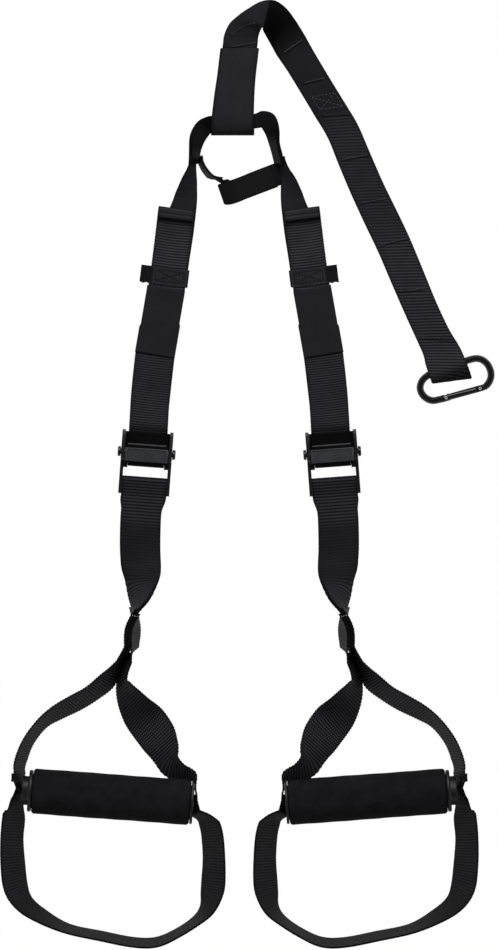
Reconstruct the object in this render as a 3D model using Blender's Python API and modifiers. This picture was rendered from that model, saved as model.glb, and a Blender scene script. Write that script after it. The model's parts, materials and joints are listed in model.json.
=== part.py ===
# A suspension trainer laid flat: an anchor strap with a snap hook, a folded yoke strap
# with a locking loop, and two arms that each carry a cam buckle, a grip and a foot cradle.
# Metres. +X is to the right of the laid-out trainer, +Y towards its anchor, +Z up from
# the floor. The arms mirror each other about a line parallel to Y.

import math

import bmesh
import bpy
from mathutils import Matrix, Vector

# Webbing and the clearance between touching pieces
webbing_thick = 0.0018
band_thick = 0.0012
play = 0.0003
anchor_width = 0.0320
main_width = 0.0335
tail_width = 0.0360
strap_width = 0.0375
yoke_width = 0.0175
yoke_thick = 0.0036
lock_width = 0.0209
keeper_width = 0.0160
fold_steps = 8
turn_steps = 3
corner_steps = 3

# Where the groups lie on the floor
mirror_x = -0.0079
arm_out = 0.0861
buckle_y = 0.0193
buckle_in = 0.0008
left_lean = 7.0
right_lean = 7.2
buckle_lean = 4.2
yoke_x = -0.0131
yoke_y = 0.3229
yoke_half_span = 0.0400
yoke_height = 0.0350
loop_squeeze = 0.78

# Anchor strap, its sleeve, and the snap hook
anchor_rise = 0.1070
anchor_fall = 0.3367
anchor_run = 0.2038
anchor_pad_share = 0.70
anchor_pad_width = 0.0356
pad_flare = 0.12
pad_flare_share = 0.45
rod_radius = 0.0033
hook_long = 0.0742
hook_wide = 0.0346
hook_lean = 15.5
spine_lean = 5.0
loop_off_centre = 0.0042
loop_width = 0.0368
loop_slack = 0.0078
loop_swing = 13.0
gate_radius = 0.0030
hinge_along = 0.0197
nose_along = 0.0152
hinge_gap = 0.0020
nose_gap = 0.0006
tongue_half = 0.0010
tongue_long = 0.0060
notch_half = 0.0013
pin_inset = 0.0018
hook_pin_radius = 0.0009

# Arm: distances up from the cam pin along the arm
hem_top = 0.2270
hem_long = 0.0105
keeper_at = 0.1636
keeper_low = 0.0189
keeper_high = 0.0245
band_corner = 0.0010
sleeve_top = 0.1530
sleeve_long = 0.0630
sleeve_half = 0.0179
sleeve_tilt = 2.73
split_up = 0.2722
feed_up = 0.0225

# Cam buckle: places from the cam pin, x across, y up the arm
side_room = 0.0035
side_thick = 0.0030
side_up = 0.0205
side_down = 0.0385
side_back = 0.0060
side_height = 0.0192
side_round = 0.0024
rail_low = 0.0010
rail_high = 0.0084
plate_thick = 0.0020
plate_up = 0.0190
crossbar_down = 0.0098
pin_height = 0.0130
pin_radius = 0.0025
pin_head_radius = 0.0046
pin_head_thick = 0.0028
cam_top = 0.0054
cam_back = 0.0083
cam_front = 0.0040
cam_foot = 0.0049
cam_gap = 0.0007
thumb_out = 0.0180
thumb_thick = 0.0017
thumb_low = 0.0006
panel_depth = 0.0005
panel_margin = 0.0024
tooth_depth = 0.0008
tooth_count = 4
spring_wire = 0.0004
spring_radius = 0.0035
spring_turns = 4
spring_long = 0.0056
spring_pocket = 0.0044
bar_drop = 0.0264
bar_radius = 0.0025

# Grip, handle strap and foot cradle, placed from the strap bar
lower_long = 0.1535
outer_sewn_share = 0.75
inner_sewn_share = 0.78
grip_out = 0.0091
grip_drop = 0.2909
foam_radius = 0.0210
foam_long = 0.1454
foam_round = 0.0022
tube_radius = 0.0158
tube_wall = 0.0036
neck_radius = 0.0134
outer_ring_radius = 0.0193
outer_ring_long = 0.0035
inner_ring_radius = 0.0198
inner_ring_long = 0.0026
ring_round = 0.0010
neck_long = 0.0059
outer_reach = 0.0048
inner_reach = 0.0031
bend_radius = 0.0044
bore_width = 0.0235
arm_rise = 0.1700
cradle_drop = 0.1320
tab_up = 0.0075

# How far a cutter passes beyond what it cuts
overrun = 0.0020


def material(name, colour, roughness, metallic=0.0):
    made = bpy.data.materials.new(name)
    made.use_nodes = True
    shader = made.node_tree.nodes["Principled BSDF"]
    shader.inputs["Base Color"].default_value = (*colour, 1.0)
    shader.inputs["Roughness"].default_value = roughness
    shader.inputs["Metallic"].default_value = metallic
    return made


def fresh_collection(name):
    made = bpy.data.collections.new(name)
    bpy.context.scene.collection.children.link(made)
    return made


for old in list(bpy.data.objects):
    bpy.data.objects.remove(old, do_unlink=True)
for old in list(bpy.data.collections):
    bpy.data.collections.remove(old)

parts = fresh_collection("suspension_trainer")
cutters = fresh_collection("cutters")

webbing = material("webbing", (0.012, 0.012, 0.013), 0.75)
smooth_webbing = material("smooth_webbing", (0.014, 0.014, 0.015), 0.6)
foam = material("foam_rubber", (0.010, 0.010, 0.011), 0.85)
plastic = material("black_plastic", (0.008, 0.008, 0.009), 0.45)
coated = material("black_coated_metal", (0.012, 0.012, 0.013), 0.35, 0.6)
steel = material("steel", (0.45, 0.45, 0.46), 0.35, 1.0)


def flat_place(x, y, lean=0.0, z=0.0):
    """A placement on the floor, turned about the vertical by lean degrees."""
    return Matrix.Translation((x, y, z)) @ Matrix.Rotation(math.radians(lean), 4, "Z")


class Body:
    """An empty on a moving body's joint axis, which carries the body's pieces."""

    def __init__(self, name, place, parent=None):
        self.empty = bpy.data.objects.new(name, None)
        self.empty.empty_display_size = strap_width
        self.place = place
        parts.objects.link(self.empty)
        if parent:
            self.empty.parent = parent.empty
            self.empty.matrix_local = parent.place.inverted() @ place
        else:
            self.empty.matrix_world = place


class Group:
    """Where a group of pieces is laid out, the body that carries it, and its side."""

    def __init__(self, body, place, side=1):
        self.body, self.place, self.side = body, place, side

    def take(self, obj, local=None):
        placed = self.place if local is None else self.place @ local
        if self.body:
            obj.parent = self.body.empty
            obj.matrix_local = self.body.place.inverted() @ placed
        else:
            obj.matrix_world = placed
        return obj


def add_object(name, mesh, finish=None, cutter=False):
    obj = bpy.data.objects.new(name, mesh)
    (cutters if cutter else parts).objects.link(obj)
    if finish:
        mesh.materials.append(finish)
    if cutter:
        obj.hide_render = True
        obj.display_type = "WIRE"
    return obj


def mesh_from(bm, name):
    bmesh.ops.recalc_face_normals(bm, faces=bm.faces)
    if bm.calc_volume(signed=True) < 0:
        bmesh.ops.reverse_faces(bm, faces=bm.faces)
    mesh = bpy.data.meshes.new(name)
    bm.to_mesh(mesh)
    bm.free()
    mesh.shade_smooth()
    mesh.set_sharp_from_angle(angle=math.radians(35.0))
    return mesh


def box(name, low, high, group, finish=None, cutter=False):
    bm = bmesh.new()
    bmesh.ops.create_cube(bm, size=1.0)
    low, high = Vector(low), Vector(high)
    bmesh.ops.scale(bm, vec=high - low, verts=bm.verts)
    bmesh.ops.translate(bm, vec=(low + high) / 2, verts=bm.verts)
    return group.take(add_object(name, mesh_from(bm, name), finish, cutter))


def rod(name, radius, start, end, group, finish=None, cutter=False, sides=20):
    """A straight round bar between two points."""
    start, end = Vector(start), Vector(end)
    along = end - start
    bm = bmesh.new()
    bmesh.ops.create_cone(
        bm, cap_ends=True, segments=sides, radius1=radius, radius2=radius, depth=along.length
    )
    turn = along.to_track_quat("Z", "Y").to_matrix().to_4x4()
    bm.transform(Matrix.Translation((start + end) / 2) @ turn)
    return group.take(add_object(name, mesh_from(bm, name), finish, cutter))


def plate(name, outline, thick, rounding, group, at=0.0, finish=None, cutter=False):
    """An outline in the YZ plane with rounded corners, thick along X from at."""
    bm = bmesh.new()
    bm.faces.new([bm.verts.new((at, y, z)) for y, z in outline])
    if rounding:
        bmesh.ops.bevel(
            bm, geom=bm.verts[:], offset=rounding, segments=3, profile=0.5, affect="VERTICES"
        )
    grown = bmesh.ops.extrude_face_region(bm, geom=bm.faces[:])
    moved = [item for item in grown["geom"] if isinstance(item, bmesh.types.BMVert)]
    bmesh.ops.translate(bm, vec=(thick, 0.0, 0.0), verts=moved)
    return group.take(add_object(name, mesh_from(bm, name), finish, cutter))


def turned(name, profile, finish, group, sides=40, closed=True):
    """A profile of (radius, place along X), right end first, turned about X."""
    bm = bmesh.new()
    ring = [bm.verts.new((radius, 0.0, along)) for radius, along in profile]
    for first, second in zip(ring, ring[1:] + (ring[:1] if closed else [])):
        bm.edges.new((first, second))
    mesh = bpy.data.meshes.new(name)
    bm.to_mesh(mesh)
    bm.free()
    obj = add_object(name, mesh, finish)
    screw = obj.modifiers.new("Screw", "SCREW")
    screw.axis = "Z"
    screw.steps = sides
    screw.render_steps = sides
    screw.use_merge_vertices = True
    screw.merge_threshold = 0.00001
    screw.use_smooth_shade = True
    return group.take(obj, Matrix.Rotation(math.pi / 2, 4, "Y"))


def swept(name, points, radius, finish, group, resolution=2):
    """A round rod that follows the points, as a mesh with welded end caps."""
    curve = bpy.data.curves.new(name, "CURVE")
    curve.dimensions = "3D"
    curve.bevel_depth = radius
    curve.bevel_resolution = resolution
    curve.use_fill_caps = True
    spline = curve.splines.new("POLY")
    spline.points.add(len(points) - 1)
    for point, place in zip(spline.points, points):
        point.co = (*place, 1.0)
    guide = add_object(name + "_path", curve)
    bpy.context.view_layer.update()
    seen = guide.evaluated_get(bpy.context.evaluated_depsgraph_get())
    mesh = bpy.data.meshes.new_from_object(seen)
    bm = bmesh.new()
    bm.from_mesh(mesh)
    bmesh.ops.remove_doubles(bm, verts=bm.verts, dist=0.00001)
    bpy.data.objects.remove(guide, do_unlink=True)
    bpy.data.meshes.remove(mesh)
    return group.take(add_object(name, mesh_from(bm, name), finish))


def combine(obj, tools, operation="DIFFERENCE"):
    for tool in tools:
        step = obj.modifiers.new(operation.title(), "BOOLEAN")
        step.operation = operation
        step.solver = "EXACT"
        step.object = tool
    return obj


def smooth_rows(rows, steps):
    """Rows of numbers made finer along a smooth curve through every one of them."""
    finer = []
    for i in range(len(rows) - 1):
        near = rows[max(i - 1, 0)], rows[i], rows[i + 1], rows[min(i + 2, len(rows) - 1)]
        for step in range(steps):
            t = step / steps
            weights = (
                (-t + 2 * t**2 - t**3) / 2,
                (2 - 5 * t**2 + 3 * t**3) / 2,
                (t + 4 * t**2 - 3 * t**3) / 2,
                (-(t**2) + t**3) / 2,
            )
            finer.append(tuple(sum(w * v for w, v in zip(weights, col)) for col in zip(*near)))
    finer.append(tuple(rows[-1]))
    return finer


def across(azimuth, elevation):
    """The direction from a strap's centre line to its named edge."""
    turn, rise = math.radians(azimuth), math.radians(elevation)
    return Vector(
        (math.cos(rise) * math.cos(turn), math.cos(rise) * math.sin(turn), math.sin(rise))
    )


def resting_height(width, elevation, thick=webbing_thick):
    """Height of a strap's centre line when its lower edge just meets the floor."""
    rise = math.radians(elevation)
    return (width * abs(math.sin(rise)) + thick * abs(math.cos(rise))) / 2


def station(x, y, z, azimuth, elevation, width):
    """One cross line of a strap: centre, direction of its width, and width."""
    return Vector((x, y, z)), across(azimuth, elevation), width


def laid(rows, width, thick=webbing_thick):
    """Stations that rest on the floor, from rows of x, y, lift, azimuth, elevation, share."""
    return [
        station(x, y, resting_height(width * share, rise, thick) + lift, turn, rise, width * share)
        for x, y, lift, turn, rise, share in rows
    ]


def fold(centre_flat, centre_up, radius, azimuth, width, point, start=270.0, end=90.0):
    """Stations round a fold whose axis lies level. point turns (flat, up) into x, y, z."""
    made = []
    for i in range(2 * fold_steps + 1):
        turn = math.radians(start + (end - start) * i / (2 * fold_steps))
        flat = centre_flat + radius * math.cos(turn)
        x, y, z = point(flat, centre_up + radius * math.sin(turn))
        made.append(station(x, y, z, azimuth, 0.0, width))
    return made


def shift(stations, distance):
    """The same strap moved along its face normal, to lie beside another layer."""
    moved = []
    for i, (centre, direction, width) in enumerate(stations):
        ahead = stations[min(i + 1, len(stations) - 1)][0]
        behind = stations[max(i - 1, 0)][0]
        normal = (ahead - behind).cross(direction).normalized()
        moved.append((centre + normal * distance, direction, width))
    return moved


def strap(name, stations, finish, group, thick=webbing_thick, closed=False):
    """A strip of webbing through the stations, mirrored in X on the left side."""
    bm = bmesh.new()
    lines = []
    for centre, direction, width in stations:
        half = direction * width / 2
        ends = (centre - half, centre + half)
        lines.append([bm.verts.new((group.side * p.x, p.y, p.z)) for p in ends])
    following = lines[1:] + (lines[:1] if closed else [])
    for (a, b), (d, c) in zip(lines, following):
        bm.faces.new((a, b, c, d))
    mesh = bpy.data.meshes.new(name)
    bm.to_mesh(mesh)
    bm.free()
    mesh.shade_smooth()
    obj = add_object(name, mesh, finish)
    shell = obj.modifiers.new("Solidify", "SOLIDIFY")
    shell.thickness = thick
    shell.offset = 0.0
    return group.take(obj)


# Levels of the layers where the yoke passes through the anchor's loop
anchor_low = band_thick + play + webbing_thick / 2
yoke_level = band_thick + webbing_thick + 2 * play + yoke_thick / 2
anchor_high = 2 * yoke_level - anchor_low
loop_radius = yoke_level - anchor_low
pad_radius = yoke_level - band_thick / 2
loop_y = yoke_y - yoke_width * loop_squeeze / 2 + 2 * play

# Levels of the layers on each arm
layer_step = webbing_thick + play
main_level = band_thick + play + webbing_thick / 2
sleeve_low = main_level + webbing_thick / 2 + play + band_thick / 2
tail_level = sleeve_low + band_thick / 2 + play + webbing_thick / 2
sleeve_high = tail_level + webbing_thick / 2 + play + band_thick / 2
plate_level = main_level + webbing_thick / 2 + play + plate_thick / 2
feed_level = plate_level + plate_thick / 2 + play + webbing_thick / 2
feed_radius = (feed_level - main_level) / 2

# The buckle's sides stand clear of the webbing
side_gap = strap_width + side_room

# The snap hook's own places
hook_half_long = hook_long / 2 - rod_radius
hook_half_wide = hook_wide / 2 - rod_radius
wrap_radius = rod_radius + play + webbing_thick / 2
spine_level = webbing_thick / 2 + wrap_radius
hook_x = yoke_x + anchor_run
hook_y = loop_y + anchor_rise - anchor_fall

# The strap bar's and the grip's own places
bar_wrap = bar_radius + play + webbing_thick / 2
bar_height = webbing_thick / 2 + bar_wrap
bore_radius = tube_radius - tube_wall
outer_end = foam_long / 2 + play + outer_ring_long + neck_long
inner_end = foam_long / 2 + play + inner_ring_long
outer_plane = outer_end + outer_reach
inner_plane = inner_end + inner_reach

floor = Group(None, Matrix.Identity(4))

# Across the turn at the top the outer edge stays down and the inner edge lifts.
# x in shares of anchor_run, y in shares of anchor_rise, lift in shares of the loop's
# height, azimuth and elevation in degrees
first_leg_shares = (
    (-0.005, 0.100, 1.00, 180.0, 0.0),
    (0.003, 0.304, 1.00, 180.0, 0.0),
    (0.013, 0.476, 1.00, 180.0, 0.0),
    (0.022, 0.622, 0.98, 180.0, 0.0),
    (0.027, 0.699, 0.94, 180.0, 0.0),
    (0.030, 0.745, 0.84, 180.0, 0.0),
    (0.034, 0.807, 0.55, 180.0, -4.0),
    (0.051, 0.885, 0.25, 174.0, -16.0),
    (0.077, 0.930, 0.12, 154.0, -37.0),
    (0.104, 0.962, 0.08, 124.0, -45.0),
    (0.131, 0.990, 0.08, 92.0, -39.0),
    (0.159, 0.983, 0.10, 68.0, -22.0),
    (0.189, 0.931, 0.14, 52.0, -12.0),
    (0.220, 0.845, 0.20, 45.0, -4.0),
    (0.255, 0.733, 0.26, 38.0, 0.0),
)

# Down to the hook: x in shares of anchor_run, y in shares of anchor_fall, azimuth,
# width share
second_leg_shares = (
    (0.302, 0.131, 33.0, 0.94),
    (0.372, 0.201, 30.0, 0.93),
    (0.431, 0.260, 28.0, 0.94),
    (0.492, 0.322, 25.0, 0.95),
    (0.543, 0.395, 23.0, 0.97),
    (0.601, 0.477, 24.0, 0.98),
    (0.662, 0.555, 24.0, 1.00),
    (0.724, 0.634, 23.5, 1.00),
    (0.791, 0.730, 23.0, 0.99),
    (0.848, 0.811, 24.0, 0.97),
    (0.901, 0.880, 23.0, 0.98),
)


def anchor_first_leg():
    """Rows of the anchor strap from its loop to just past the turn."""
    height = anchor_high - webbing_thick / 2
    rows = [
        (yoke_x + anchor_run * x, loop_y + anchor_rise * y, height * lift, turn, rise, 1.0)
        for x, y, lift, turn, rise in first_leg_shares
    ]
    return smooth_rows(rows, turn_steps)


def build_anchor():
    """One strap: under the sleeve, round the yoke, over the turn, to the hook and back."""

    leg = anchor_first_leg()
    covered = [row for row in leg if row[1] - loop_y < anchor_rise * anchor_pad_share]

    def over_yoke(flat, up):
        return leg[0][0], flat, up

    start = [station(x, y, anchor_low, 180.0, 0.0, anchor_width) for x, y, *_ in covered[::-1]]
    start += fold(loop_y, yoke_level, loop_radius, 180.0, anchor_width, over_yoke)
    first = laid(leg, anchor_width)

    low = webbing_thick / 2
    high = low + layer_step
    turn = hook_lean + spine_lean
    spine = hook_point(loop_off_centre * -1, spine_across(-loop_off_centre))
    up = across(turn + 90.0, 0.0)
    widen = loop_width / anchor_width
    top_y = loop_y + anchor_rise
    rows = [
        (yoke_x + anchor_run * x, top_y - anchor_fall * y, high, azimuth, share)
        for x, y, azimuth, share in second_leg_shares
    ]
    for reach, level_share, share in ((4.2, 0.12, 1.04), (2.4, 0.50, widen * 0.97)):
        near = spine + up * wrap_radius * reach
        level = high + (spine_level + wrap_radius - high) * level_share
        rows.append((near.x, near.y, level, turn, share))
    fine = smooth_rows(rows, turn_steps)
    second = [station(x, y, z, a, 0.0, anchor_width * s) for x, y, z, a, s in fine]

    def round_spine(flat, up_by):
        point = spine + up * flat
        return point.x, point.y, up_by

    loop = fold(
        -loop_slack, spine_level, wrap_radius, turn, loop_width, round_spine, 90.0, 270.0
    )
    # the roll hangs looser at the hook's far end
    loop = [
        (centre, across(turn - loop_swing * math.sin(math.pi * i / (2 * fold_steps)), 0.0), width)
        for i, (centre, _, width) in enumerate(loop)
    ]
    loop.insert(0, fold(0.0, spine_level, wrap_radius, turn, loop_width, round_spine, 90.0)[0])
    back = [
        (Vector((centre.x, centre.y, low)), direction, width)
        for centre, direction, width in reversed(second[turn_steps:])
    ]
    strap("anchor_strap", start + first + second + loop + back, webbing, floor)

    def pad_station(x, y, level):
        share = 1 - (y - loop_y) / (anchor_rise * pad_flare_share)
        width = anchor_pad_width * (1 + pad_flare * max(0.0, share))
        return station(x, y, level, 180.0, 0.0, width)

    pad = [pad_station(x, y, band_thick / 2) for x, y, *_ in covered[::-1]]
    widest = anchor_pad_width * (1 + pad_flare)
    pad += fold(loop_y, yoke_level, pad_radius, 180.0, widest, over_yoke)
    rise = webbing_thick + play + band_thick / 2
    pad += [pad_station(x, y, lift + rise) for x, y, lift, *_ in covered]
    strap("anchor_sleeve", pad, smooth_webbing, floor, thick=band_thick)


def hook_point(along, up_by):
    """A place on the floor plan given along and across the snap hook."""
    turn = math.radians(hook_lean)
    x = hook_x + along * math.cos(turn) - up_by * math.sin(turn)
    y = hook_y + along * math.sin(turn) + up_by * math.cos(turn)
    return Vector((x, y, 0.0))


def spine_across(along):
    """How far the hook's straight spine stands from its long axis."""
    return hook_half_wide * 0.90 + along * math.tan(math.radians(spine_lean))


# The hook's bent rod from its nose round to its hinge, in shares of the half sizes
hook_shares = (
    (-0.62, -0.985),
    (-0.76, -0.93),
    (-0.90, -0.68),
    (-0.985, -0.28),
    (-0.98, 0.14),
    (-0.87, 0.52),
)
hook_far_shares = (
    (0.66, 0.98),
    (0.82, 0.82),
    (0.94, 0.46),
    (0.985, -0.02),
    (0.95, -0.48),
    (0.83, -0.84),
    (0.70, -0.985),
)


def build_hook():
    body_place = flat_place(hook_x, hook_y, hook_lean, spine_level)
    spine = spine_across(-loop_off_centre)
    hinge_line = flat_place(0.0, 0.0, spine_lean)
    hinge_line.translation = (-loop_off_centre, spine, 0.0)
    hook_body = Body("carabiner_swivel", body_place @ hinge_line)
    group = Group(hook_body, body_place)
    gate_y = -hook_half_wide
    half_straight = loop_width / 2 + play

    def scaled(shares):
        return [(hook_half_long * x, hook_half_wide * y, 0.0) for x, y in shares]

    straight = [
        (x, spine_across(x), 0.0)
        for x in (
            -loop_off_centre - half_straight,
            -loop_off_centre,
            -loop_off_centre + half_straight,
        )
    ]
    nose_end = (-nose_along + tongue_long, gate_y, 0.0)
    hinge_end = (hinge_along - pin_inset, gate_y, 0.0)
    near = smooth_rows([(-nose_along - nose_gap, gate_y, 0.0)] + scaled(hook_shares) + straight[:1], 3)
    far = smooth_rows(straight[2:] + scaled(hook_far_shares) + [(hinge_along, gate_y, 0.0)], 3)
    body = swept(
        "carabiner_body",
        [nose_end] + near + [straight[1]] + far + [hinge_end],
        rod_radius,
        coated,
        group,
        resolution=3,
    )
    reach = rod_radius + overrun
    nose_cut = -nose_along - nose_gap
    tip = -nose_along + tongue_long + overrun
    slot = tongue_half + play
    pin_at = -nose_along + tongue_long * 0.42
    cuts = [
        box(
            f"nose_flat_{i}",
            (nose_cut, gate_y - reach, low),
            (tip, gate_y + reach, high),
            group,
            cutter=True,
        )
        for i, (low, high) in enumerate(((tongue_half, reach), (-reach, -tongue_half)))
    ]
    cuts.append(
        box(
            "nose_notch",
            (pin_at - notch_half, gate_y - hook_pin_radius - play, -reach),
            (pin_at + notch_half, gate_y + reach, reach),
            group,
            cutter=True,
        )
    )
    hinge_far = hinge_along + tongue_long * 0.80
    cuts.append(
        box(
            "hinge_slot",
            (hinge_along - pin_inset - overrun, gate_y - reach, -slot),
            (hinge_far, gate_y + reach, slot),
            group,
            cutter=True,
        )
    )
    pin_bore = rod(
        "hinge_bore",
        hook_pin_radius + play,
        (hinge_along, gate_y, -reach),
        (hinge_along, gate_y, reach),
        group,
        cutter=True,
        sides=12,
    )
    combine(body, cuts + [pin_bore])

    gate_body = Body(
        "carabiner_gate_hinge",
        body_place @ Matrix.Translation((hinge_along, gate_y, 0.0)),
        hook_body,
    )
    swing = Group(gate_body, body_place)
    round_end = hinge_along - pin_inset - hinge_gap
    gate = rod(
        "carabiner_gate",
        gate_radius,
        (-nose_along, gate_y, 0.0),
        (hinge_along + tongue_long * 0.40, gate_y, 0.0),
        swing,
        coated,
    )
    gate_cuts = [
        box(
            f"gate_flat_{i}",
            (round_end, gate_y - reach, low),
            (hinge_far, gate_y + reach, high),
            swing,
            cutter=True,
        )
        for i, (low, high) in enumerate(((tongue_half, reach), (-reach, -tongue_half)))
    ]
    gate_cuts.append(
        box(
            "gate_slot",
            (-nose_along - overrun, gate_y - reach, -slot),
            (-nose_along + tongue_long + nose_gap, gate_y + reach, slot),
            swing,
            cutter=True,
        )
    )
    for at in (hinge_along, pin_at):
        gate_cuts.append(
            rod(
                "gate_bore",
                hook_pin_radius + play,
                (at, gate_y, -reach),
                (at, gate_y, reach),
                swing,
                cutter=True,
                sides=12,
            )
        )
    combine(gate, gate_cuts)
    for name, at, half, carrier in (
        ("carabiner_hinge_pin", hinge_along, rod_radius - play, group),
        ("carabiner_latch_pin", pin_at, gate_radius - play, swing),
    ):
        rod(name, hook_pin_radius, (at, gate_y, -half), (at, gate_y, half), carrier, steel, sides=12)


# The folded yoke strap: x and y in shares of its half span and height, then azimuth,
# elevation of the outer edge, lift in shares of the anchor loop's level, width share
yoke_shares = (
    (-0.906, -0.938, 185.0, 64.0, 0.30, 1.0),
    (-0.888, -0.709, 182.0, 59.0, 0.35, 1.0),
    (-0.830, -0.394, 160.0, 40.0, 0.50, 1.0),
    (-0.705, -0.150, 132.0, 22.0, 0.80, 0.96),
    (-0.560, -0.040, 105.0, 6.0, 1.00, 0.86),
    (-0.480, -0.010, 94.0, 0.0, 1.00, loop_squeeze),
    (0.000, 0.000, 90.0, 0.0, 1.00, loop_squeeze),
    (0.450, 0.040, 88.0, 0.0, 1.00, loop_squeeze),
    (0.620, 0.090, 80.0, 6.0, 1.00, 0.92),
    (0.785, 0.040, 46.0, 24.0, 0.80, 1.0),
    (0.882, -0.220, 16.0, 46.0, 0.50, 1.0),
    (0.930, -0.526, 4.0, 64.0, 0.35, 1.0),
    (0.990, -0.789, -2.0, 66.0, 0.30, 1.0),
    (1.022, -0.942, -5.0, 66.0, 0.30, 1.0),
)

# The locking loop's lower strap, measured the same way, the inner edge raised
lock_shares = (
    (-0.775, -0.965, 16.0, 77.0),
    (-0.755, -1.060, 26.0, 77.0),
    (-0.673, -1.235, 38.0, 77.0),
    (-0.530, -1.425, 53.0, 77.0),
    (-0.432, -1.505, 64.0, 73.0),
    (-0.345, -1.615, 76.0, 54.0),
    (-0.280, -1.745, 94.0, 32.0),
    (-0.200, -1.810, 106.0, 18.0),
    (-0.020, -1.780, 112.0, 6.0),
    (0.160, -1.710, 112.0, 0.0),
    (0.500, -1.565, 112.0, 0.0),
    (0.903, -1.390, 112.0, 0.0),
    (1.120, -1.290, 112.0, 0.0),
)

# The hook-and-loop tab's centre line from free end to root: azimuth and elevation of
# its inner edge, width share
tab_shares = (
    (-0.290, -1.882, 94.0, 36.0, 0.84),
    (-0.250, -1.882, 98.0, 31.0, 1.0),
    (-0.150, -1.862, 106.0, 19.0, 1.0),
    (-0.020, -1.812, 112.0, 10.0, 1.0),
    (0.200, -1.717, 112.0, 0.0, 1.0),
    (0.915, -1.407, 112.0, 0.0, 1.0),
)


def build_yoke():
    bottom = yoke_level - yoke_thick / 2
    rows = [
        (yoke_x + yoke_half_span * x, yoke_y + yoke_height * y, bottom * lift, turn, rise, share)
        for x, y, turn, rise, lift, share in yoke_shares
    ]
    strap(
        "yoke_strap",
        laid(smooth_rows(rows, turn_steps), yoke_width, yoke_thick),
        smooth_webbing,
        floor,
        thick=yoke_thick,
    )
    rows = [
        (yoke_x + yoke_half_span * x, yoke_y + yoke_height * y, 0.0, turn, rise, 1.0)
        for x, y, turn, rise in lock_shares
    ]
    strap("locking_loop_strap", laid(smooth_rows(rows, turn_steps), lock_width), smooth_webbing, floor)
    rows = [
        (
            yoke_x + yoke_half_span * x,
            yoke_y + yoke_height * y,
            layer_step / math.cos(math.radians(rise)),
            turn,
            rise,
            share,
        )
        for x, y, turn, rise, share in tab_shares
    ]
    root_x, root_y, _, root_turn, *_ = rows[-1]
    tab_body = Body("locking_tab_peel", flat_place(root_x, root_y, root_turn - 90.0, layer_step))
    group = Group(tab_body, Matrix.Identity(4))
    strap("locking_tab", laid(smooth_rows(rows, turn_steps), lock_width), smooth_webbing, group)


# Main strap from the yoke to the keeper: x in shares of main_width, y in shares of
# split_up, azimuth and elevation, lift in shares of the yoke's level, width share
main_shares = (
    (-0.312, 1.002, 8.0, 73.0, 0.10, 0.50),
    (-0.302, 0.965, 8.0, 60.0, 0.10, 0.50),
    (-0.268, 0.920, 6.0, 24.0, 0.10, 0.52),
    (-0.240, 0.880, 5.0, 3.0, 0.10, 0.62),
    (-0.215, 0.845, 4.0, 0.0, 0.05, 0.70),
    (-0.114, 0.760, 2.0, 0.0, 0.00, 0.91),
    (-0.050, 0.680, 0.0, 0.0, 0.00, 1.00),
    (-0.036, 0.603, 0.0, 0.0, 0.00, 1.00),
)

# Centre line of the tail's upper run: y in shares of hem_top, x in shares of main_width
tail_shares = ((0.398, 0.084), (0.535, 0.039), (0.674, -0.006), (0.80, -0.02), (0.96, -0.02))

# The tail's lower run from the buckle to the sleeve, in shares of sleeve_top - sleeve_long
# and of tail_width
tail_low_shares = ((0.55, 0.058), (0.80, 0.076), (0.985, 0.080))


def ring(name, low_x, high_x, low_z, high_z, y, width, finish, group):
    """A flat closed band round the straps, its axis along the arm."""
    stations = []
    corners = ((high_x, low_z, -1, 1), (high_x, high_z, -1, -1), (low_x, high_z, 1, -1))
    for i, (x, z, inward, upward) in enumerate(corners + ((low_x, low_z, 1, 1),)):
        for step in range(corner_steps + 1):
            turn = math.radians(90.0 * (i - 1 + step / corner_steps))
            place = (
                x + band_corner * (inward + math.cos(turn)),
                z + band_corner * (upward + math.sin(turn)),
            )
            stations.append(station(place[0], y, place[1], 90.0, 0.0, width))
    return strap(name, stations, finish, group, thick=band_thick, closed=True)


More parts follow.
